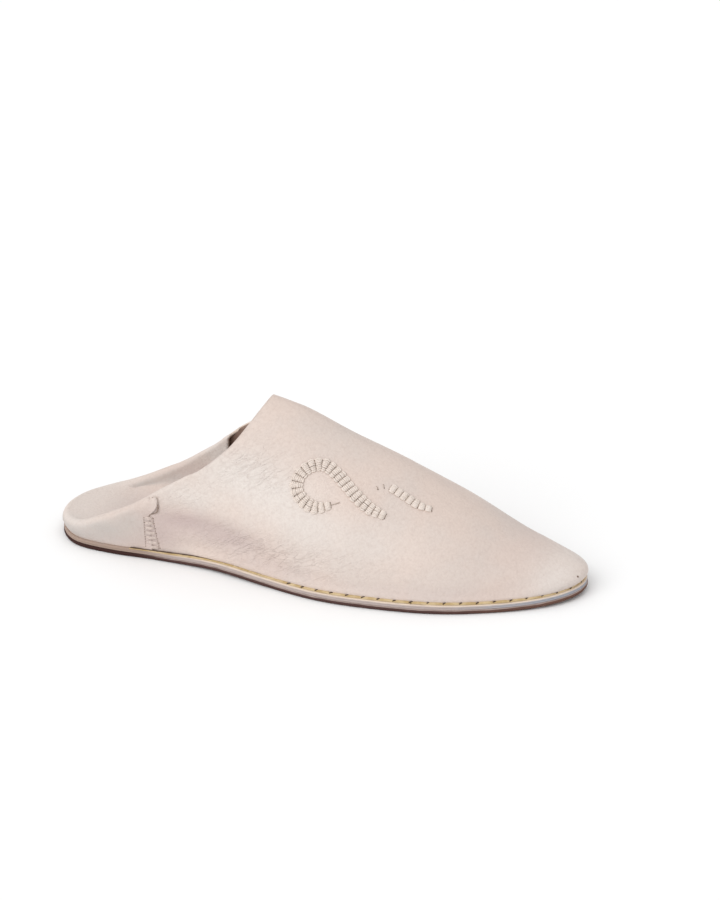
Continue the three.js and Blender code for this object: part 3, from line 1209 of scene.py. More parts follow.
CREASES = (
    Crease(((68, 23.5), (80, 22), (94, 21), (108, 19), (124, 14.5)), 1.5, 7.0),
    Crease(((118, 15), (128, 13.5), (140, 9.5)), 0.5, 3.2),
    Crease(((96, 13), (108, 15.5), (120, 20)), 0.35, 2.2),
    Crease(((106, 11), (118, 14), (131, 19.5)), 0.35, 2.0),
    Crease(((118, 10.5), (130, 14.5), (143, 21)), 0.35, 2.2),
    Crease(((132, 11.5), (144, 15.5), (156, 21.5)), 0.3, 2.2),
    Crease(((84, 12.5), (94, 14), (104, 18)), 0.3, 2.0),
    Crease(((74, 12), (84, 11), (96, 9.5)), 0.3, 2.4),
    Crease(((100, 57), (108, 56), (117, 58.5)), 0.34, 1.5),
    Crease(((103, 60.5), (111, 60), (119, 62.5)), 0.26, 1.3),
    Crease(((98, 53), (106, 51.5), (116, 53), (124, 55.5)), 0.36, 1.6),
    Crease(((101, 49), (110, 47), (121, 48.5), (130, 52)), 0.3, 1.6),
    Crease(((96, 46.5), (106, 43.5), (118, 44), (127, 47)), 0.26, 1.6),
    Crease(((114, 64), (121, 63), (128, 64.5)), 0.24, 1.3),
    Crease(((120, 59), (128, 57.5), (135, 58.5)), 0.26, 1.4),
    Crease(((92, 41), (101, 38), (112, 37.5)), 0.22, 1.8),
    Crease(((86, 36), (96, 33), (108, 32)), 0.2, 2.2),
    Crease(((70, 29), (84, 29.5), (98, 28)), 0.5, 4.5),
    Crease(((68, 23), (80, 21), (94, 19.5), (110, 15.5)), 1.2, 6.5, Side.MEDIAL),
    Crease(((104, 12), (115, 15), (127, 20.5)), 0.35, 2.2, Side.MEDIAL),
    Crease(((120, 11.5), (131, 15), (144, 21.5)), 0.32, 2.2, Side.MEDIAL),
    Crease(((88, 12), (98, 14), (108, 17.5)), 0.3, 2.0, Side.MEDIAL),
    Crease(((99, 54), (108, 52.5), (118, 55)), 0.32, 1.6, Side.MEDIAL),
    Crease(((101, 48.5), (112, 46.5), (124, 49)), 0.3, 1.6, Side.MEDIAL),
    Crease(((103, 60), (111, 59), (120, 61)), 0.26, 1.4, Side.MEDIAL),
)


class Relief:
    """How far the leather stands off the bare form: its creases and its soft unevenness."""

    def __init__(self, last: Last) -> None:
        """Lays the creases over the last.

        Args:
            last: the form that the leather lies on.
        """
        self.last = last
        self.rows: list[tuple[int, float]] = []
        samples: list[Vector] = []
        for index, crease in enumerate(CREASES):
            line = smooth_path([Vector(point) for point in crease.points], 24)
            for i, (x, height) in enumerate(line):
                samples.append(last.row(last.side_point(x, height, crease.side)))
                self.rows.append((index, math.sin(math.pi * (i + 1) / (len(line) + 1)) ** 0.6))
        self.tree = KDTree(len(samples))
        for i, sample in enumerate(samples):
            self.tree.insert(sample, i)
        self.tree.balance()
        self.widest = max(crease.width for crease in CREASES)

    def at(self, point: Vector) -> float:
        """Height in mm at a packed point, below 0 in a crease.

        Args:
            point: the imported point.

        Returns:
            The height in mm.
        """
        nearest: dict[int, tuple[float, float]] = {}
        for _, i, distance in self.tree.find_range(point, 2.2 * self.widest * MM):
            index, strength = self.rows[i]
            if index not in nearest or distance < nearest[index][0]:
                nearest[index] = (distance, strength)
        height = 0.0
        for index, (distance, strength) in nearest.items():
            crease = CREASES[index]
            ratio = (distance / MM / crease.width) ** 2
            height -= crease.depth * strength * (1 - 0.9 * ratio) * math.exp(-ratio)
        spread = point / MM
        height += 0.35 * noise.noise(spread / 26.0)
        height += 0.10 * noise.noise(spread / 9.0 + Vector((7.0, 3.0, 1.0)))
        return height

    def apply(self, mesh: bmesh.types.BMesh, lift: float = 0.0) -> None:
        """Moves a mesh's corners along their normals to this height.

        Args:
            mesh: the leather's mesh.
            lift: added to the height everywhere, in mm.
        """

        def move(vert: bmesh.types.BMVert) -> Vector:
            """How far one corner goes: not at all at the foot and the toe tip.

            Args:
                vert: the corner.

            Returns:
                Its step in metres.
            """
            x = self.last.station_of(vert.co)
            height = vert.co.z / MM
            foot = smoothstep(height - self.last.foot_level - self.last.rise(x), 0.0, 4.0)
            toe = 1 - smoothstep(x, 236.0, 262.0)
            return vert.normal * (self.at(vert.co) * foot * toe + lift) * MM

        move_corners(mesh, move)


class Tone(NamedTuple):
    """A soft patch on the side, as station, height, reach along each and strength."""

    x: float
    height: float
    reach_x: float
    reach_height: float
    strength: float


# Painted highlights: lighter patches on the sides, the heel flap and the toe.
PAINTED_HIGHLIGHTS = (
    Tone(84, 36, 18, 7, 0.6),
    Tone(104, 48, 20, 11, 0.75),
    Tone(10, 13, 18, 6, 0.6),
    Tone(128, 44, 20, 12, 0.75),
    Tone(146, 33, 24, 8, 0.5),
    Tone(172, 26, 34, 8, 0.3),
    Tone(259, 12, 13, 9, 0.75),
)
SHADES = (
    Tone(246, 22, 22, 12, 0.2),
    Tone(80, 22, 20, 5.5, 0.95),
    Tone(104, 18, 22, 5.5, 0.75),
    Tone(66, 14, 12, 8, 0.85),
    Tone(44, 8, 20, 3.5, 0.5),
    Tone(128, 10, 24, 4.5, 0.35),
    Tone(210, 8, 50, 4, 0.25),
)
# Painted shade low on the heel's walls and on the toe's side; only upright faces take it.
PAINTED_UPRIGHT_SHADES = (
    Tone(14, 7.5, 22, 3.6, 0.95),
    Tone(36, 13, 18, 6.0, 0.9),
    Tone(50, 19, 10, 6.5, 0.6),
    Tone(262, 13, 9, 8, 0.25),
)
CRINKLES = (
    Tone(108, 54, 17, 11, 0.5),
    Tone(126, 52, 12, 10, 0.4),
    Tone(124, 16, 44, 9, 0.75),
    Tone(80, 34, 16, 9, 0.3),
)


def paint_tone(mesh: bmesh.types.BMesh, last: Last) -> None:
    """Writes the tone attribute: painted highlight in red, painted shade in green, wrinkles in blue, painted
    shade on upright faces in alpha.

    Args:
        mesh: the leather's mesh.
        last: the form that it lies on.
    """
    layer = mesh.verts.layers.float_color.new("tone")
    mesh.normal_update()

    def strength(patches: Sequence[Tone], x: float, height: float) -> float:
        """How strong patches are together at a place, from 0 to 1.

        Args:
            patches: the patches.
            x: the station.
            height: height over the floor.

        Returns:
            The strength.
        """
        clear = 1.0
        for patch in patches:
            ratio = ((x - patch.x) / patch.reach_x) ** 2
            ratio += ((height - patch.height) / patch.reach_height) ** 2
            clear *= 1 - min(patch.strength * math.exp(-ratio), 1.0)
        return 1 - clear

    for vert in mesh.verts:
        x = last.station_of(vert.co)
        height = vert.co.z / MM
        # the alpha channel's painted shade is kept to upright faces
        upright = smoothstep(1 - abs(vert.normal.z), 0.15, 0.75)
        tones = [strength(patches, x, height) for patches in (PAINTED_HIGHLIGHTS, SHADES, CRINKLES, PAINTED_UPRIGHT_SHADES)]
        vert[layer] = (*tones[:3], tones[3] * upright)


# ---------------------------------------------------------------- the upper
def tab_share(x: float, height: float) -> float:
    """How far the quarter's tab stands free at a place, from 0 to 1."""
    return smoothstep(x, 61.5, 66.5) * smoothstep(height, 23.6, 25.5)


@dataclass
class Upper:
    """The vamp, the lapped heel quarter and their open inside."""

    last: Last
    relief: Relief
    wall: float = 1.4
    wall_columns: int = 40
    crown_columns: int = 40
    roll_columns: int = 10
    flap_columns: int = 34
    vamp_rows: int = 150
    heel_rays: int = 210
    quarter_lift: float = 0.06
    quarter_wall: float = 0.36
    tab_lift: float = 0.5
    fold_station: float = 62.0  # where the heights of the seam's table are read
    flap_seam: float = 65.0
    skived: float = 0.06  # share of its thickness that the quarter keeps at a pared edge
    sunk: float = 0.4  # how deep its pared part lies in the leather under it
    dip_at: float = 63.0  # the seam's foot is pulled in and down at this station
    dip_in: float = 0.9
    dip_down: float = 1.1
    overhang: float = 1.2  # how far the vamp bulges over the rand at the sides
    tip_overhang: float = 3.0  # and at the toe tip
    skin: BVHTree | None = None

    def build(self) -> list[bpy.types.Object]:
        """Makes and dresses the vamp and the quarter.

        Returns:
            The two pieces.
        """
        outer = SoftLeather().make()
        lining = PlainLeather("lining_suede", srgb(138, 112, 100), srgb(172, 148, 134)).make()
        cut = PlainLeather("cut_edge", srgb(214, 196, 182), srgb(226, 210, 198), 0.3).make()
        vamp = finish_piece("vamp", self.shell(), (outer, lining, cut))
        add_wall(vamp, self.wall)
        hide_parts("upper")
        quarter = finish_piece("quarter", self.overlay(), (outer,))
        quarter.vertex_groups.new(name="thickness")
        add_wall(quarter, self.quarter_wall, inwards=False)
        quarter.modifiers["wall"].vertex_group = "thickness"
        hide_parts("heel_counter")
        return [vamp, quarter]

    def shell(self) -> bmesh.types.BMesh:
        """The leather's outer face: vamp in front and trodden heel behind, one sheet.

        Returns:
            The sheet, with its tone attribute.
        """
        last = self.last
        total = self.wall_columns + self.crown_columns

        def vamp(side: Side) -> Callable[[float, float], Vector]:
            """The placing function of one side of the vamp.

            Args:
                side: which side of the shoe.

            Returns:
                A function that turns two shares into a packed point.
            """
            limit = last.climb_at(last.bend_from, last.edge_height(last.bend_from, side.value))
            climbs = [limit * i / self.wall_columns for i in range(self.wall_columns)]
            climbs += [
                lerp(limit, math.pi / 2, i / self.crown_columns) for i in range(self.crown_columns + 1)
            ]
            starts = [last.angle(last.bend_from)] * (self.wall_columns + 1)
            starts += [
                last.angle(last.collar_station(climb, side.value))
                for climb in climbs[self.wall_columns + 1 :]
            ]

            def place(u: float, v: float) -> Vector:
                """Point of the vamp, from the collar to the toe and from the foot to the crown.

                Args:
                    u: share of the way in the grid's first direction.
                    v: share of the way in its second direction.

                Returns:
                    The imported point.
                """
                column = round(v * total)
                angle = lerp(starts[column], math.pi, u)
                return last.row(last.rib(angle, side.value, climbs[column]))

            return place

        parts = [new_grid(self.vamp_rows, total, vamp(side)) for side in Side]
        parts.append(self.heel_sheet(last.fold_front))
        shell = joined(parts)
        bmesh.ops.remove_doubles(shell, verts=shell.verts, dist=50 * MERGE)
        bmesh.ops.dissolve_degenerate(shell, edges=shell.edges, dist=MERGE)
        turn_sheet(shell, 1)
        self.relief.apply(shell)
        self.swell_foot(shell)
        paint_tone(shell, last)
        self.skin = BVHTree.FromBMesh(shell)
        return shell

    def heel_sheet(self, front: Callable[[float], float]) -> bmesh.types.BMesh:
        """The heel's sheet from one side round the back to the other.

        Args:
            front: station of its front edge for a share of its section.

        Returns:
            The open sheet.
        """
        last = self.last
        counts = (self.wall_columns, self.roll_columns, self.flap_columns)
        shares = [part + i / count for part, count in enumerate(counts) for i in range(count)] + [3.0]
        fronts = [last.angle(front(share)) for share in shares]

        def place(u: float, v: float) -> Vector:
            """Point of the sheet, round the heel and along its section.

            Args:
                u: share of the way in the grid's first direction.
                v: share of the way in its second direction.

            Returns:
                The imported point.
            """
            column = round(v * (len(shares) - 1))
            return last.row(last.fold(lerp(fronts[column], -fronts[column], u), shares[column]))

        return new_grid(self.heel_rays, len(shares) - 1, place)

    def overlay(self) -> bmesh.types.BMesh:
        """The quarter that laps over the vamp's back edge, with a free tab on each side.

        Returns:
            The sheet, with its thickness group and tone attribute.
        """
        last = self.last
        seam = TableCurve(SEAM)
        reach = last.inset(last.angle(self.fold_station), 1, last.upper_inset(self.fold_station)).y

        def front(share: float) -> float:
            """Station of the quarter's front edge for a share of its section.

            Args:
                share: place along the section, as in Last.fold.

            Returns:
                The station.
            """
            if share > 1:
                return lerp(SEAM[-1].station, self.flap_seam, (share - 1) / 2)
            return seam(last.section(self.fold_station, 1, reach, share, 1.0).y)[0]

        sheet = self.heel_sheet(front)
        bmesh.ops.dissolve_degenerate(sheet, edges=sheet.edges, dist=MERGE)
        turn_sheet(sheet, -1)
        self.relief.apply(sheet, self.quarter_lift)
        sheet.normal_update()
        thickness = sheet.verts.layers.deform.verify()
        for vert in sheet.verts:
            x = last.station_of(vert.co)
            height = vert.co.z / MM
            outward = smoothstep(abs(vert.normal.y), 0.3, 0.8) * (vert.normal.y * vert.co.y > 0)
            free = smoothstep(height, 22.6, 24.6) * outward
            vert[thickness][0] = max(free, 1 - smoothstep(x, 46.0, 59.0), self.skived)
            tab = tab_share(x, height) * outward
            sunk = self.sunk * (1 - outward) * smoothstep(x, 40.0, 56.0)
            vert.co -= vert.normal * sunk * MM
            dip = math.exp(-(((x - self.dip_at) / 4.0) ** 2)) * (1 - smoothstep(height, 5.2, 8.5))
            vert.co += vert.normal * (tab * self.tab_lift + dip * self.dip_in) * MM
            vert.co.z -= dip * self.dip_down * MM
        paint_tone(sheet, last)
        return sheet

    def swell_foot(self, mesh: bmesh.types.BMesh) -> None:
        """Lets the vamp bulge out over the rand, close above its foot.

        Args:
            mesh: the leather's mesh.
        """
        last = self.last

        def move(vert: bmesh.types.BMVert) -> Vector:
            """How far one corner bulges: most a little above the foot.

            Args:
                vert: the corner.

            Returns:
                Its step in metres.
            """
            x = last.station_of(vert.co)
            above = vert.co.z / MM - last.foot_level - last.rise(x)
            tip = smoothstep(x, 238.0, 266.0)
            reach = lerp(self.overhang, self.tip_overhang, tip) * smoothstep(x, 68.0, 100.0)
            centre = lerp(1.5, 3.5, tip)
            ratio = (above - centre) / lerp(2.2, 3.3 if above < centre else 4.8, tip)
            out = Vector((vert.normal.x, vert.normal.y, 0.0))
            return out * reach * math.exp(-(ratio**2)) * MM

        move_corners(mesh, move)

    def on_skin(self, x: float, height: float, side: Side) -> tuple[Vector, Vector]:
        """Point and normal of the leather at a station and a height.

        Args:
            x: the station.
            height: height over the floor.
            side: which side of the shoe.

        Returns:
            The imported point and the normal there.
        """
        guess = self.last.row(self.last.side_point(x, height, side))
        found, normal, _, _ = self.skin.find_nearest(guess)
        return found, normal

    def over_skin(self, x: float, height: float, side: Side, lift: float) -> Vector:
        """A packed point that many millimetres over the leather at a station and a height."""
        point, normal = self.on_skin(x, height, side)
        return point + normal * lift * MM


# ---------------------------------------------------------------- the bottom
@dataclass
class Bottom:
    """Outsole, midsole, rand with its stitches, and insole."""

    last: Last
    stations: int = 150
    welt_steps: int = 420
    welt_from: float = 50.0
    welt_full: float = 84.0
    welt_height: float = 0.95
    stitch_pitch: float = 7.5
    stitch_length: float = 2.2
    stitch_radius: float = 0.34
    stitched_from: float = 132.0  # no stitch shows behind this station
    butt_at: float = 199.0  # the rand's ends meet here on the outer side

    def build(self) -> list[bpy.types.Object]:
        """Makes and dresses the four layers and the stitches.

        Returns:
            The five pieces.
        """
        last = self.last
        base = last.outsole + last.layer_gap
        foot = last.foot_level
        # Dark brown outsole, darker at the heel and browner at the toe; its top above the split is painted
        # grey, the painted shade of the cream midsole's side.
        dark = BandedEdge(
            "outsole_leather",
            low=srgb(80, 58, 54),
            high=srgb(176, 158, 151),
            toe=srgb(108, 80, 69),
            heel=srgb(62, 40, 36),
            split=1.9,
        )
        under = [(0.9, 0.0), (0.35, 0.25), (0.0, 0.9), (0.05, 1.7), (0.4, 2.2)]
        outsole = finish_piece("outsole_edge", self.slab(under), (dark.make(),))
        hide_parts("outsole")
        # Cream midsole: its upright side below the split is painted grey as shade under the lit top ledge,
        # bluer at the toe; the whole edge is browner at the heel.
        pale = BandedEdge(
            "midsole_edge",
            low=srgb(184, 170, 165),
            high=srgb(220, 203, 186),
            toe=srgb(168, 169, 176),
            heel=srgb(164, 143, 130),
            split=3.95,
        )
        sides = [
            (0.55, base), (0.3, base + 0.15), (0.3, base + 0.7), (0.5, base + 0.82),
            (0.3, base + 0.95), (0.32, base + 1.5), (0.5, base + 1.95), (1.0, base + 2.1),
        ]
        midsole = finish_piece("midsole_layers", self.slab(sides), (pale.make(),))
        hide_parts("midsole")
        sock = PlainLeather("sock", srgb(196, 172, 152), srgb(214, 194, 176), 0.04).make()
        rim = last.insole
        inner = [(rim + 0.4, foot), (rim + 0.3, foot + 1.2), (rim + 0.9, foot + 1.6)]
        insole = finish_piece("sock_lining", self.slab(inner, True), (sock,))
        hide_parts("insole")
        return [outsole, midsole, insole, self.welt(), self.stitches()]

    def slab(self, profile: list[tuple[float, float]], from_upper: bool = False) -> bmesh.types.BMesh:
        """A closed layer with the sole's outline.

        Args:
            profile: its side from below, as distance in from the edge and height.
            from_upper: whether those distances start from the upper's foot.

        Returns:
            The closed mesh.
        """
        last = self.last
        inner = 6
        low, high = profile[0], profile[-1]
        columns = [(low[0], low[1], i / inner) for i in range(inner)]
        columns += [(inset, height, 1.0) for inset, height in profile]
        columns += [(high[0], high[1], 1 - (i + 1) / inner) for i in range(inner)]
        count = len(columns) - 1

        def place(side: Side) -> Callable[[float, float], Vector]:
            """The placing function of one side of the layer.

            Args:
                side: which side of the shoe.

            Returns:
                A function that turns two shares into a packed point.
            """

            def at(u: float, v: float) -> Vector:
                """Point of the layer, from heel to toe and round its section.

                Args:
                    u: share of the way in the grid's first direction.
                    v: share of the way in its second direction.

                Returns:
                    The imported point.
                """
                inset, height, out = columns[round(v * count)]
                angle = math.pi * u
                x = last.station(angle)
                inset += last.upper_inset(x) if from_upper else 0.0
                edge = last.inset(angle, side.value, inset)
                other = last.inset(angle, -side.value, inset)
                middle = (edge.x + other.x) / 2
                level = last.rise(x) + height
                return last.row(Vector((lerp(middle, edge.x, out), edge.y * out, level)))

            return at

        layer = joined([new_grid(self.stations, count, place(side)) for side in Side])
        bmesh.ops.remove_doubles(layer, verts=layer.verts, dist=MERGE)
        bmesh.ops.recalc_face_normals(layer, faces=layer.faces)
        level = layer.verts.layers.float_color.new("level")
        for vert in layer.verts:
            over = vert.co.z / MM - last.rise(last.station_of(vert.co))
            vert[level] = (over / LEVEL_SCALE, 0.0, 0.0, 1.0)
        return layer

    def rand_line(self, inset: float, count: int) -> list[Vector]:
        """Station points along the rand from the outer side round the toe to the inner side.

        Args:
            inset: distance in from the sole's edge where the upper stands 3 mm in.
            count: how many steps the line has.

        Returns:
            count + 1 station points.
        """
        start = math.pi - self.last.angle(self.welt_from)
        forefoot = self.last.forefoot_inset
        line = []
        for i in range(count + 1):
            turn = lerp(-start, start, i / count)
            angle = math.pi - abs(turn)
            x = self.last.station(angle)
            plan = self.last.inset(angle, -1 if turn < 0 else 1, inset + self.last.upper_inset(x) - forefoot)
            line.append(Vector((plan.x, plan.y, self.last.rise(x) + self.last.foot_level)))
        return line

    def fullness(self, x: float) -> float:
        """Share of its full height that the rand has at a station: it thins towards the seam.

        Args:
            x: the station.

        Returns:
            The share.
        """
        back = lerp(0.2, 0.62, smoothstep(x, self.welt_from, self.welt_full))
        toe = lerp(1.0, 0.75, smoothstep(x, 250.0, 266.0))
        return lerp(back, 1.0, smoothstep(x, 95.0, 175.0)) * toe

    def welt(self) -> bpy.types.Object:
        """The yellow rand, pulled down at each stitch.

        Returns:
            The piece.
        """
        last = self.last
        count = self.welt_steps
        inner = self.rand_line(2.9, count)
        outer = self.rand_line(0.9, count)
        reach = running_length(outer)
        loop = [
            (0.0, 0.05), (0.0, 0.8), (0.25, 1.12), (0.55, 1.05),
            (0.8, 0.8), (1.0, 0.45), (1.0, 0.12), (0.85, 0.05),
        ]

        def place(u: float, v: float) -> Vector:
            """Point of the rand, along it and round its section.

            Args:
                u: share of the way in the grid's first direction.
                v: share of the way in its second direction.

            Returns:
                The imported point.
            """
            i = round(u * count)
            across, height = loop[round(v * len(loop)) % len(loop)]
            fade = 0.0 if i in (0, count) else self.fullness(inner[i].x)
            pull = math.cos(math.pi * reach[i] / self.stitch_pitch) ** 12
            pillow = 1 - 0.3 * pull
            point = inner[i].lerp(outer[i], across * lerp(0.75, 1.0, fade))
            point.z += height * fade * pillow * self.welt_height
            return last.row(point)

        strip = new_grid(count, len(loop), place)
        bmesh.ops.recalc_face_normals(strip, faces=strip.faces)
        finish = PlainLeather("yellow_rand", srgb(182, 156, 112), srgb(204, 182, 144), 0.18, 0.7, 0.12)
        piece = finish_piece("rand", strip, (finish.make(),))
        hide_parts("welt")
        return piece

    def joint(self) -> bmesh.types.BMesh:
        """A dark tube in the joint between the rand and the upper: the seam's dark thread with the painted
        shadow of the gap there.

        Returns:
            The closed mesh.
        """
        count = self.welt_steps
        line = self.rand_line(2.3, count)
        points = []
        for point in line:
            lift = self.welt_height * self.fullness(point.x) * 0.95
            points.append(self.last.row(point + Vector((0.0, 0.0, lift))))

        def radius(u: float) -> float:
            """Uneven radius of the dark tube, finer towards the toe.

            Args:
                u: share of the thread's length.

            Returns:
                The radius in metres.
            """
            x = line[round(u * count)].x
            uneven = 1 + 0.5 * noise.noise(Vector((u * 90.0, 0.0, 0.0)))
            return lerp(0.38, 0.27, smoothstep(x, 90.0, 190.0)) * uneven * MM

        return tube(points, radius, 6)

    def butt(self) -> bmesh.types.BMesh:
        """The fine line across the rand where its two ends meet.

        Returns:
            The closed mesh.
        """
        last = self.last
        angle = last.angle(self.butt_at)
        points = []
        for k in range(7):
            inset = lerp(2.4, 0.5, k / 6) + last.upper_inset(self.butt_at) - last.forefoot_inset
            plan = last.inset(angle, -1, inset)
            crown = self.welt_height * self.fullness(self.butt_at) * (1.0 if k < 5 else 0.1)
            height = last.rise(self.butt_at) + last.foot_level + crown
            points.append(last.row(Vector((plan.x, plan.y, height))))
        return tube(points, lambda u: 0.16 * MM, 5)

    def stitches(self) -> bpy.types.Object:
        """The dark stitches that hold the rand, slanting over it.

        Returns:
            The piece.
        """
        last = self.last
        count = 900
        line = self.rand_line(1.6, count)
        # the joint's dark tube, thread and painted shadow of the gap, and the butt line go in with the
        # stitches
        parts = [self.joint(), self.butt()]
        goal = self.stitch_pitch
        run = 0.0
        for i in range(1, count):
            run += (line[i] - line[i - 1]).length
            if run < goal:
                continue
            goal += self.stitch_pitch
            if line[i].x < self.stitched_from:
                continue
            along = (line[i + 1] - line[i - 1]).normalized()
            out = Vector((along.y, -along.x, 0.0))
            stray = noise.noise_vector(line[i] * 1.7)
            slant = (along * 0.85 - out * (0.45 + 0.5 * stray.x)).normalized()
            middle = line[i] + out * stray.y * 0.3
            middle.z += self.welt_height * self.fullness(line[i].x) * 0.84
            half = self.stitch_length / 2 * (1 + 0.45 * stray.z)
            points = []
            for k in range(7):
                share = k / 3 - 1
                sag = Vector((0, 0, -0.5 * share**2))
                points.append(last.row(middle + slant * share * half + sag))
            parts.append(tube(points, lambda u: self.stitch_radius * MM, 6))
        # this finish also colours the joint's tube, which is painted shadow of the gap
        thread = Thread("dark_thread_and_joint_shadow", srgb(84, 62, 46), srgb(60, 44, 36)).make()
        return finish_piece("rand_stitches_and_joint_shadow", joined(parts), (thread,))


# ---------------------------------------------------------------- seam bars and embroidery
@dataclass
class SeamBars:
    """The ladder of satin bars that closes each side seam."""

    upper: Upper
    bars: int = 7
    top: float = 21.4
    bottom: float = 6.2
    back: float = 58.8
    front_top: float = 63.2
    front_bottom: float = 66.0
    radius: float = 0.31
    strands: int = 3
    lap_end: float = 62.0  # behind this station the threads lie on the quarter, so higher

    def build(self) -> list[bpy.types.Object]:
        """Makes the bars and their dark needle marks on both sides.

        Returns:
            The two pieces.
        """
        bars: list[bmesh.types.BMesh] = []
        marks: list[bmesh.types.BMesh] = []
        for side in Side:
            marks.append(self.tab_edge(side))
            for k in range(self.bars):
                share = k / (self.bars - 1)
                height = lerp(self.top, self.bottom, share)
                front = lerp(self.front_top, self.front_bottom, share)
                for strand in range(self.strands):
                    drop = (strand - (self.strands - 1) / 2) * self.radius * 1.5
                    bars.append(self.strand(height + drop, self.back, front, side))
                for x in (self.back - 0.2, front + 0.2):
                    marks.append(self.mark(x, height, side))
                    if k + 1 < self.bars:
                        marks.append(self.link(x, height, side))
        pale = Thread("seam_thread", srgb(210, 195, 187), srgb(192, 176, 168)).make()
        # needle_marks also colours the holes' dots, which are painted shade
        dark = Thread("needle_marks", srgb(158, 138, 126), srgb(134, 114, 102)).make()
        return [
            finish_piece("seam_bars", joined(bars), (pale,)),
            finish_piece("seam_marks", joined(marks), (dark,)),
        ]

    def tab_edge(self, side: Side) -> bmesh.types.BMesh:
        """A thin dark tube along the edge of the quarter's tab, above the bars.

        Args:
            side: which side of the shoe.

        Returns:
            The closed mesh.
        """
        rows = [Vector((row.station, row.x)) for row in SEAM if row.x > 21 and row.x < 33.5]
        points = []
        for station, height in smooth_path(rows, 30):
            lift = 0.2 + 0.5 * tab_share(station, height)
            points.append(self.upper.over_skin(station, height, side, lift))
        return tube(points, lambda u: 0.2 * MM * (0.5 + math.sin(math.pi * u)), 5)

    def strand(self, height: float, back: float, front: float, side: Side) -> bmesh.types.BMesh:
        """One thread of a bar.

        Args:
            height: height over the floor.
            back: station of its back end.
            front: station of its front end.
            side: which side of the shoe.

        Returns:
            The closed mesh.
        """
        points = []
        steps = 10
        for i in range(steps + 1):
            share = i / steps
            lap = 0.14 * (1 - smoothstep(share, 0.45, 0.75))
            lift = lap + 0.42 * math.sin(math.pi * share) ** 0.5 - 0.14
            points.append(self.upper.over_skin(lerp(back, front, share), height, side, lift))
        return tube(points, lambda u: self.radius * MM * math.sin(math.pi * u) ** 0.25, 6)

    def mark(self, x: float, height: float, side: Side) -> bmesh.types.BMesh:
        """A needle hole's dark dot: painted shade in the hole.

        Args:
            x: the station.
            height: height over the floor.
            side: which side of the shoe.

        Returns:
            The closed mesh.
        """
        size = 0.34 + 0.12 * noise.noise(Vector((x, height, side.value)))
        lift = 0.12 if x < self.lap_end else 0.05
        return ball(self.upper.over_skin(x, height, side, lift), size)

    def link(self, x: float, height: float, side: Side) -> bmesh.types.BMesh:
        """The thin dark thread from one bar's end down to the next.

        Args:
            x: the station.
            height: height of the bar that it leaves.
            side: which side of the shoe.

        Returns:
            The closed mesh.
        """
        pitch = (self.top - self.bottom) / (self.bars - 1)
        lift = 0.16 if x < self.lap_end else 0.08
        drops = [pitch * (0.2 + 0.6 * i / 4) for i in range(5)]
        points = [self.upper.over_skin(x, height - drop, side, lift) for drop in drops]
        return tube(points, lambda u: 0.13 * MM, 5)


SCROLL = (
    (156.5, 42.0), (150.0, 40.6), (144.5, 41.9), (140.2, 45.0), (138.4, 48.8), (139.4, 53.0),
    (143.2, 56.2), (148.4, 57.0), (153.7, 55.1), (160.0, 51.0), (167.0, 45.8), (174.5, 41.3),
    (182.0, 38.5),
)
COMMA = ((175.5, 48.3), (179.0, 48.6), (183.5, 46.9), (189.0, 44.3), (195.0, 41.4), (201.0, 39.6))


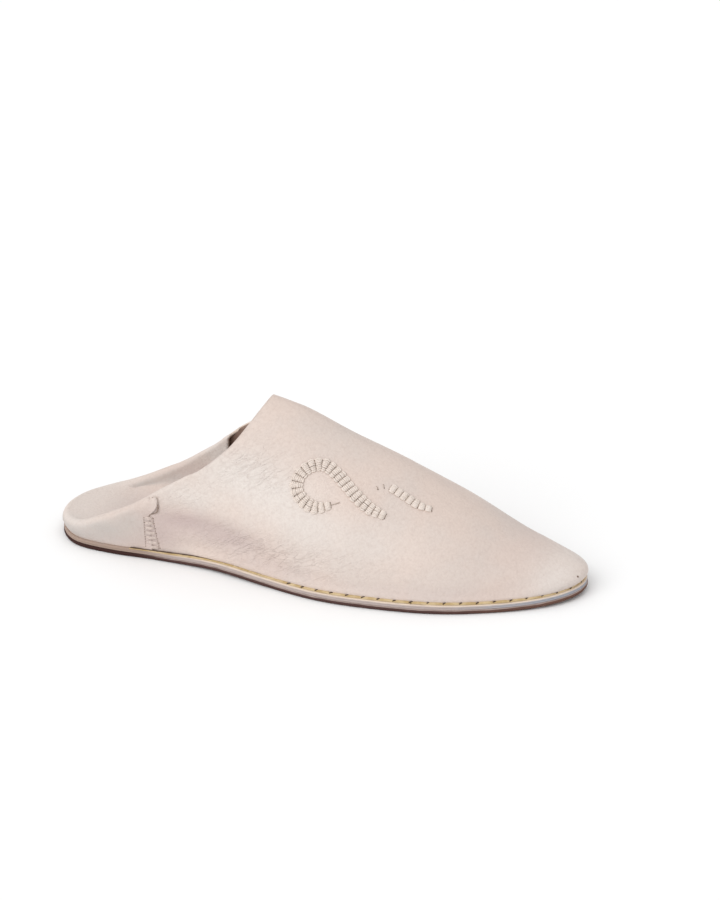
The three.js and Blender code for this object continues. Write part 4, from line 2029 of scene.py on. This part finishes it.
@dataclass
class Embroidery:
    """The corded scroll and comma on the outer side: padded threads tied down every few mm."""

    upper: Upper
    cell: float = 3.05
    width: float = 5.7
    narrow: float = 0.58
    height: float = 0.95
    strands: int = 7
    radius: float = 0.54
    stray: float = 0.22
    spots: tuple[tuple[float, float, float], ...] = ((176.1, 39.4, 0.75), (267.8, 9.5, 0.55))

    def build(self) -> list[bpy.types.Object]:
        """Makes the threads and the ties of both figures, a knot and an awl hole by the toe.

        Returns:
            The three pieces.
        """
        threads: list[bmesh.types.BMesh] = []
        ties: list[bmesh.types.BMesh] = []
        holes: list[bmesh.types.BMesh] = []
        parts = (threads, ties, holes)
        self.figure(SCROLL, self.width, 0.12, 0, parts)
        self.figure(COMMA, self.width * 0.7, 0.3, 2, parts)
        tail = smooth_path([Vector(p) for p in ((156.0, 42.2), (158.0, 42.5), (160.6, 43.4))], 8)
        points = [self.upper.over_skin(x, height, Side.LATERAL, 0.25) for x, height in tail]
        ties.append(tube(points, lambda u: 0.2 * MM, 5))
        # the knot's dark dot, and the toe's awl hole whose dark is painted shade
        for x, height, size in self.spots:
            holes.append(ball(self.upper.over_skin(x, height, Side.LATERAL, -0.1), size))
        cream = Thread("embroidery_thread", srgb(226, 214, 205), srgb(203, 189, 178), 1.8).make()
        taupe = Thread("embroidery_ties", srgb(186, 170, 158), srgb(160, 142, 129)).make()
        # awl_holes: painted shade in the needle and awl holes, with the knot's dark dot
        dark = Plain("awl_holes", srgb(112, 92, 78)).make()
        return [
            finish_piece("embroidery", joined(threads), (cream,)),
            finish_piece("embroidery_ties", joined(ties), (taupe,)),
            finish_piece("awl_holes", joined(holes), (dark,)),
        ]

    def figure(
        self,
        plan: Sequence[tuple[float, float]],
        width: float,
        taper: float,
        bare: int,
        parts: tuple[list[bmesh.types.BMesh], list[bmesh.types.BMesh], list[bmesh.types.BMesh]],
    ) -> None:
        """Adds one figure's threads, ties and awl holes.

        Args:
            plan: its middle line as stations and heights.
            width: width of its band in mm.
            taper: share of its length over which each end narrows.
            bare: how many of its first cells have lost their padding.
            parts: get the meshes of the threads, the ties and the holes.
        """
        threads, ties, holes = parts
        flat = smooth_path([Vector(point) for point in plan], 120)
        line = [self.upper.on_skin(x, height, Side.LATERAL) for x, height in flat]
        length = running_length([point for point, _ in line])[-1] / MM
        cells = max(round(length / self.cell), 2)
        per_cell = 8
        count = cells * per_cell
        middle = evenly_spaced([point for point, _ in line], count)
        normals = [self.upper.skin.find_nearest(point)[1] for point in middle]
        across = []
        for i, normal in enumerate(normals):
            along = (middle[min(i + 1, count)] - middle[max(i - 1, 0)]).normalized()
            across.append(normal.cross(along).normalized())

        def half_width(i: int) -> float:
            """Half the band's width at a step, narrower towards both ends.

            Args:
                i: the step along the figure.

            Returns:
                Half the width in mm.
            """
            share = i / count
            full = smoothstep(share, 0.0, taper) * (1 - smoothstep(share, 1 - taper, 1.0))
            return lerp(self.narrow * width, width, full) / 2

        for cell in range(bare, cells):
            start = cell * per_cell
            for strand in range(self.strands):
                off = 2 * strand / (self.strands - 1) - 1
                points = []
                for k in range(per_cell + 1):
                    i = start + k
                    swell = math.sin(math.pi * k / per_cell) ** 0.7
                    stray = noise.noise(Vector((cell * 3.1, strand * 1.7, width))) * self.stray
                    side = off * half_width(i) * (0.68 + 0.28 * swell) + stray
                    crown = (1 - 0.45 * off * off) * self.height
                    lift = 0.1 + crown * (0.25 + 0.75 * swell) - self.radius * 0.5 + stray * 0.6
                    points.append(middle[i] + across[i] * side * MM + normals[i] * lift * MM)
                ends = 0.35 / (per_cell + 1)
                points[0] = points[0].lerp(points[1], -ends)
                points[-1] = points[-1].lerp(points[-2], -ends)
                threads.append(tube(points, self.plump, 6))
        for cell in range(cells + 1):
            i = cell * per_cell
            points = []
            for k in range(9):
                off = k / 4 - 1
                side = off * half_width(i) * 0.74
                lift = 0.12 + 0.16 * (1 - off * off)
                points.append(middle[i] + across[i] * side * MM + normals[i] * lift * MM)
            ties.append(tube(points, lambda u: 0.15 * MM, 5))
            # dark balls at the tie ends: painted shade in the needle holes, bigger on the lower, shaded edge
            for end, size in ((-1, 0.4), (1, 0.22)):
                size *= 0.8 + 0.5 * noise.noise(Vector((i * 0.7, end, width)))
                spot = middle[i] + across[i] * end * half_width(i) * 0.72 * MM + normals[i] * 0.1 * MM
                holes.append(ball(spot, size))

    def plump(self, share: float) -> float:
        """Radius in metres of an embroidery thread, fullest half way along its cell."""
        return self.radius * MM * (0.7 + 0.3 * math.sin(math.pi * share))


# ---------------------------------------------------------------- studio
@dataclass
class Studio:
    """Camera, soft lights and a pale floor."""

    last: Last
    azimuth: float = 21.77
    elevation: float = 24.82
    roll: float = -2.10
    distance: float = 720.0
    lens: float = 59.6
    aim: tuple[float, float, float] = (135.0, 0.0, 30.0)
    shift_right: float = 0.0541
    shift_up: float = 0.0516

    def build(self) -> None:
        """Sets the whole studio up."""
        bpy.context.scene.view_settings.view_transform = "Standard"
        self.camera()
        self.lights()
        self.floor()

    def camera(self) -> None:
        """The camera at the shoe's display angle."""
        a = math.radians(self.azimuth)
        e = math.radians(self.elevation)
        back = Vector((math.sin(a) * math.cos(e), -math.cos(a) * math.cos(e), math.sin(e)))
        right = Vector((math.cos(a), math.sin(a), 0.0))
        up = back.cross(right)
        turn = math.radians(self.roll)
        rolled_right = right * math.cos(turn) + up * math.sin(turn)
        rolled_up = up * math.cos(turn) - right * math.sin(turn)
        axes = Matrix((rolled_right, rolled_up, back)).transposed().to_4x4()
        data = bpy.data.cameras.new("camera")
        data.lens = self.lens
        data.shift_x = self.shift_right
        data.shift_y = self.shift_up
        data.clip_end = 50
        eye = bpy.data.objects.new("camera", data)
        place = self.last.row(Vector(self.aim)) + back * self.distance * MM
        eye.matrix_world = Matrix.Translation(place) @ axes
        bpy.context.scene.collection.objects.link(eye)
        bpy.context.scene.camera = eye

    def lights(self) -> None:
        """Even daylight with two broad soft lights."""
        world = bpy.data.worlds.new("daylight")
        world.use_nodes = True
        sky = NodeTree(world.node_tree)
        way = sky.node("ShaderNodeTexCoord", {"output": "Generated"}, {})
        upward = sky.node("ShaderNodeSeparateXYZ", {"output": "Z"}, {0: way})
        fall = {"From Min": 0.0, "From Max": 0.45, "To Min": 1.0, "To Max": 0.65}
        background = world.node_tree.nodes["Background"].inputs
        sky.feed(background["Strength"], sky.node("ShaderNodeMapRange", {}, {"Value": upward, **fall}))
        sky.feed(background["Color"], (1.0, 1.0, 1.0, 1.0))
        bpy.context.scene.world = world
        for name, spot, strength, spread in (
            ("key", (-0.38, -0.66, 0.64), 1.34, 50.0),
            ("top", (0.1, 0.25, 0.96), 0.5, 70.0),
        ):
            data = bpy.data.lights.new(name, "SUN")
            data.energy = strength
            data.angle = math.radians(spread)
            lamp = bpy.data.objects.new(name, data)
            lamp.rotation_euler = Vector(spot).to_track_quat("Z", "Y").to_euler()
            bpy.context.scene.collection.objects.link(lamp)

    def floor(self) -> None:
        """A wide white floor."""
        plane = bmesh.new()
        bmesh.ops.create_grid(plane, x_segments=1, y_segments=1, size=8.0)
        data = bpy.data.meshes.new("floor")
        plane.to_mesh(data)
        plane.free()
        data.materials.append(Plain("floor_paper", (0.93, 0.93, 0.93)).make())
        floor = bpy.data.objects.new("floor", data)
        bpy.context.scene.collection.objects.link(floor)


def main() -> None:
    """Builds the slipper's pieces in order, then the studio; each piece's face count goes to the log."""
    logging.basicConfig(level=logging.INFO, format="%(name)s %(message)s")
    noise.seed_set(NOISE_SEED)
    last = Last()
    upper = Upper(last, Relief(last))
    Bottom(last).build()
    upper.build()
    SeamBars(upper).build()
    Embroidery(upper).build()
    Studio(last).build()


if __name__ == "__main__":
    main()
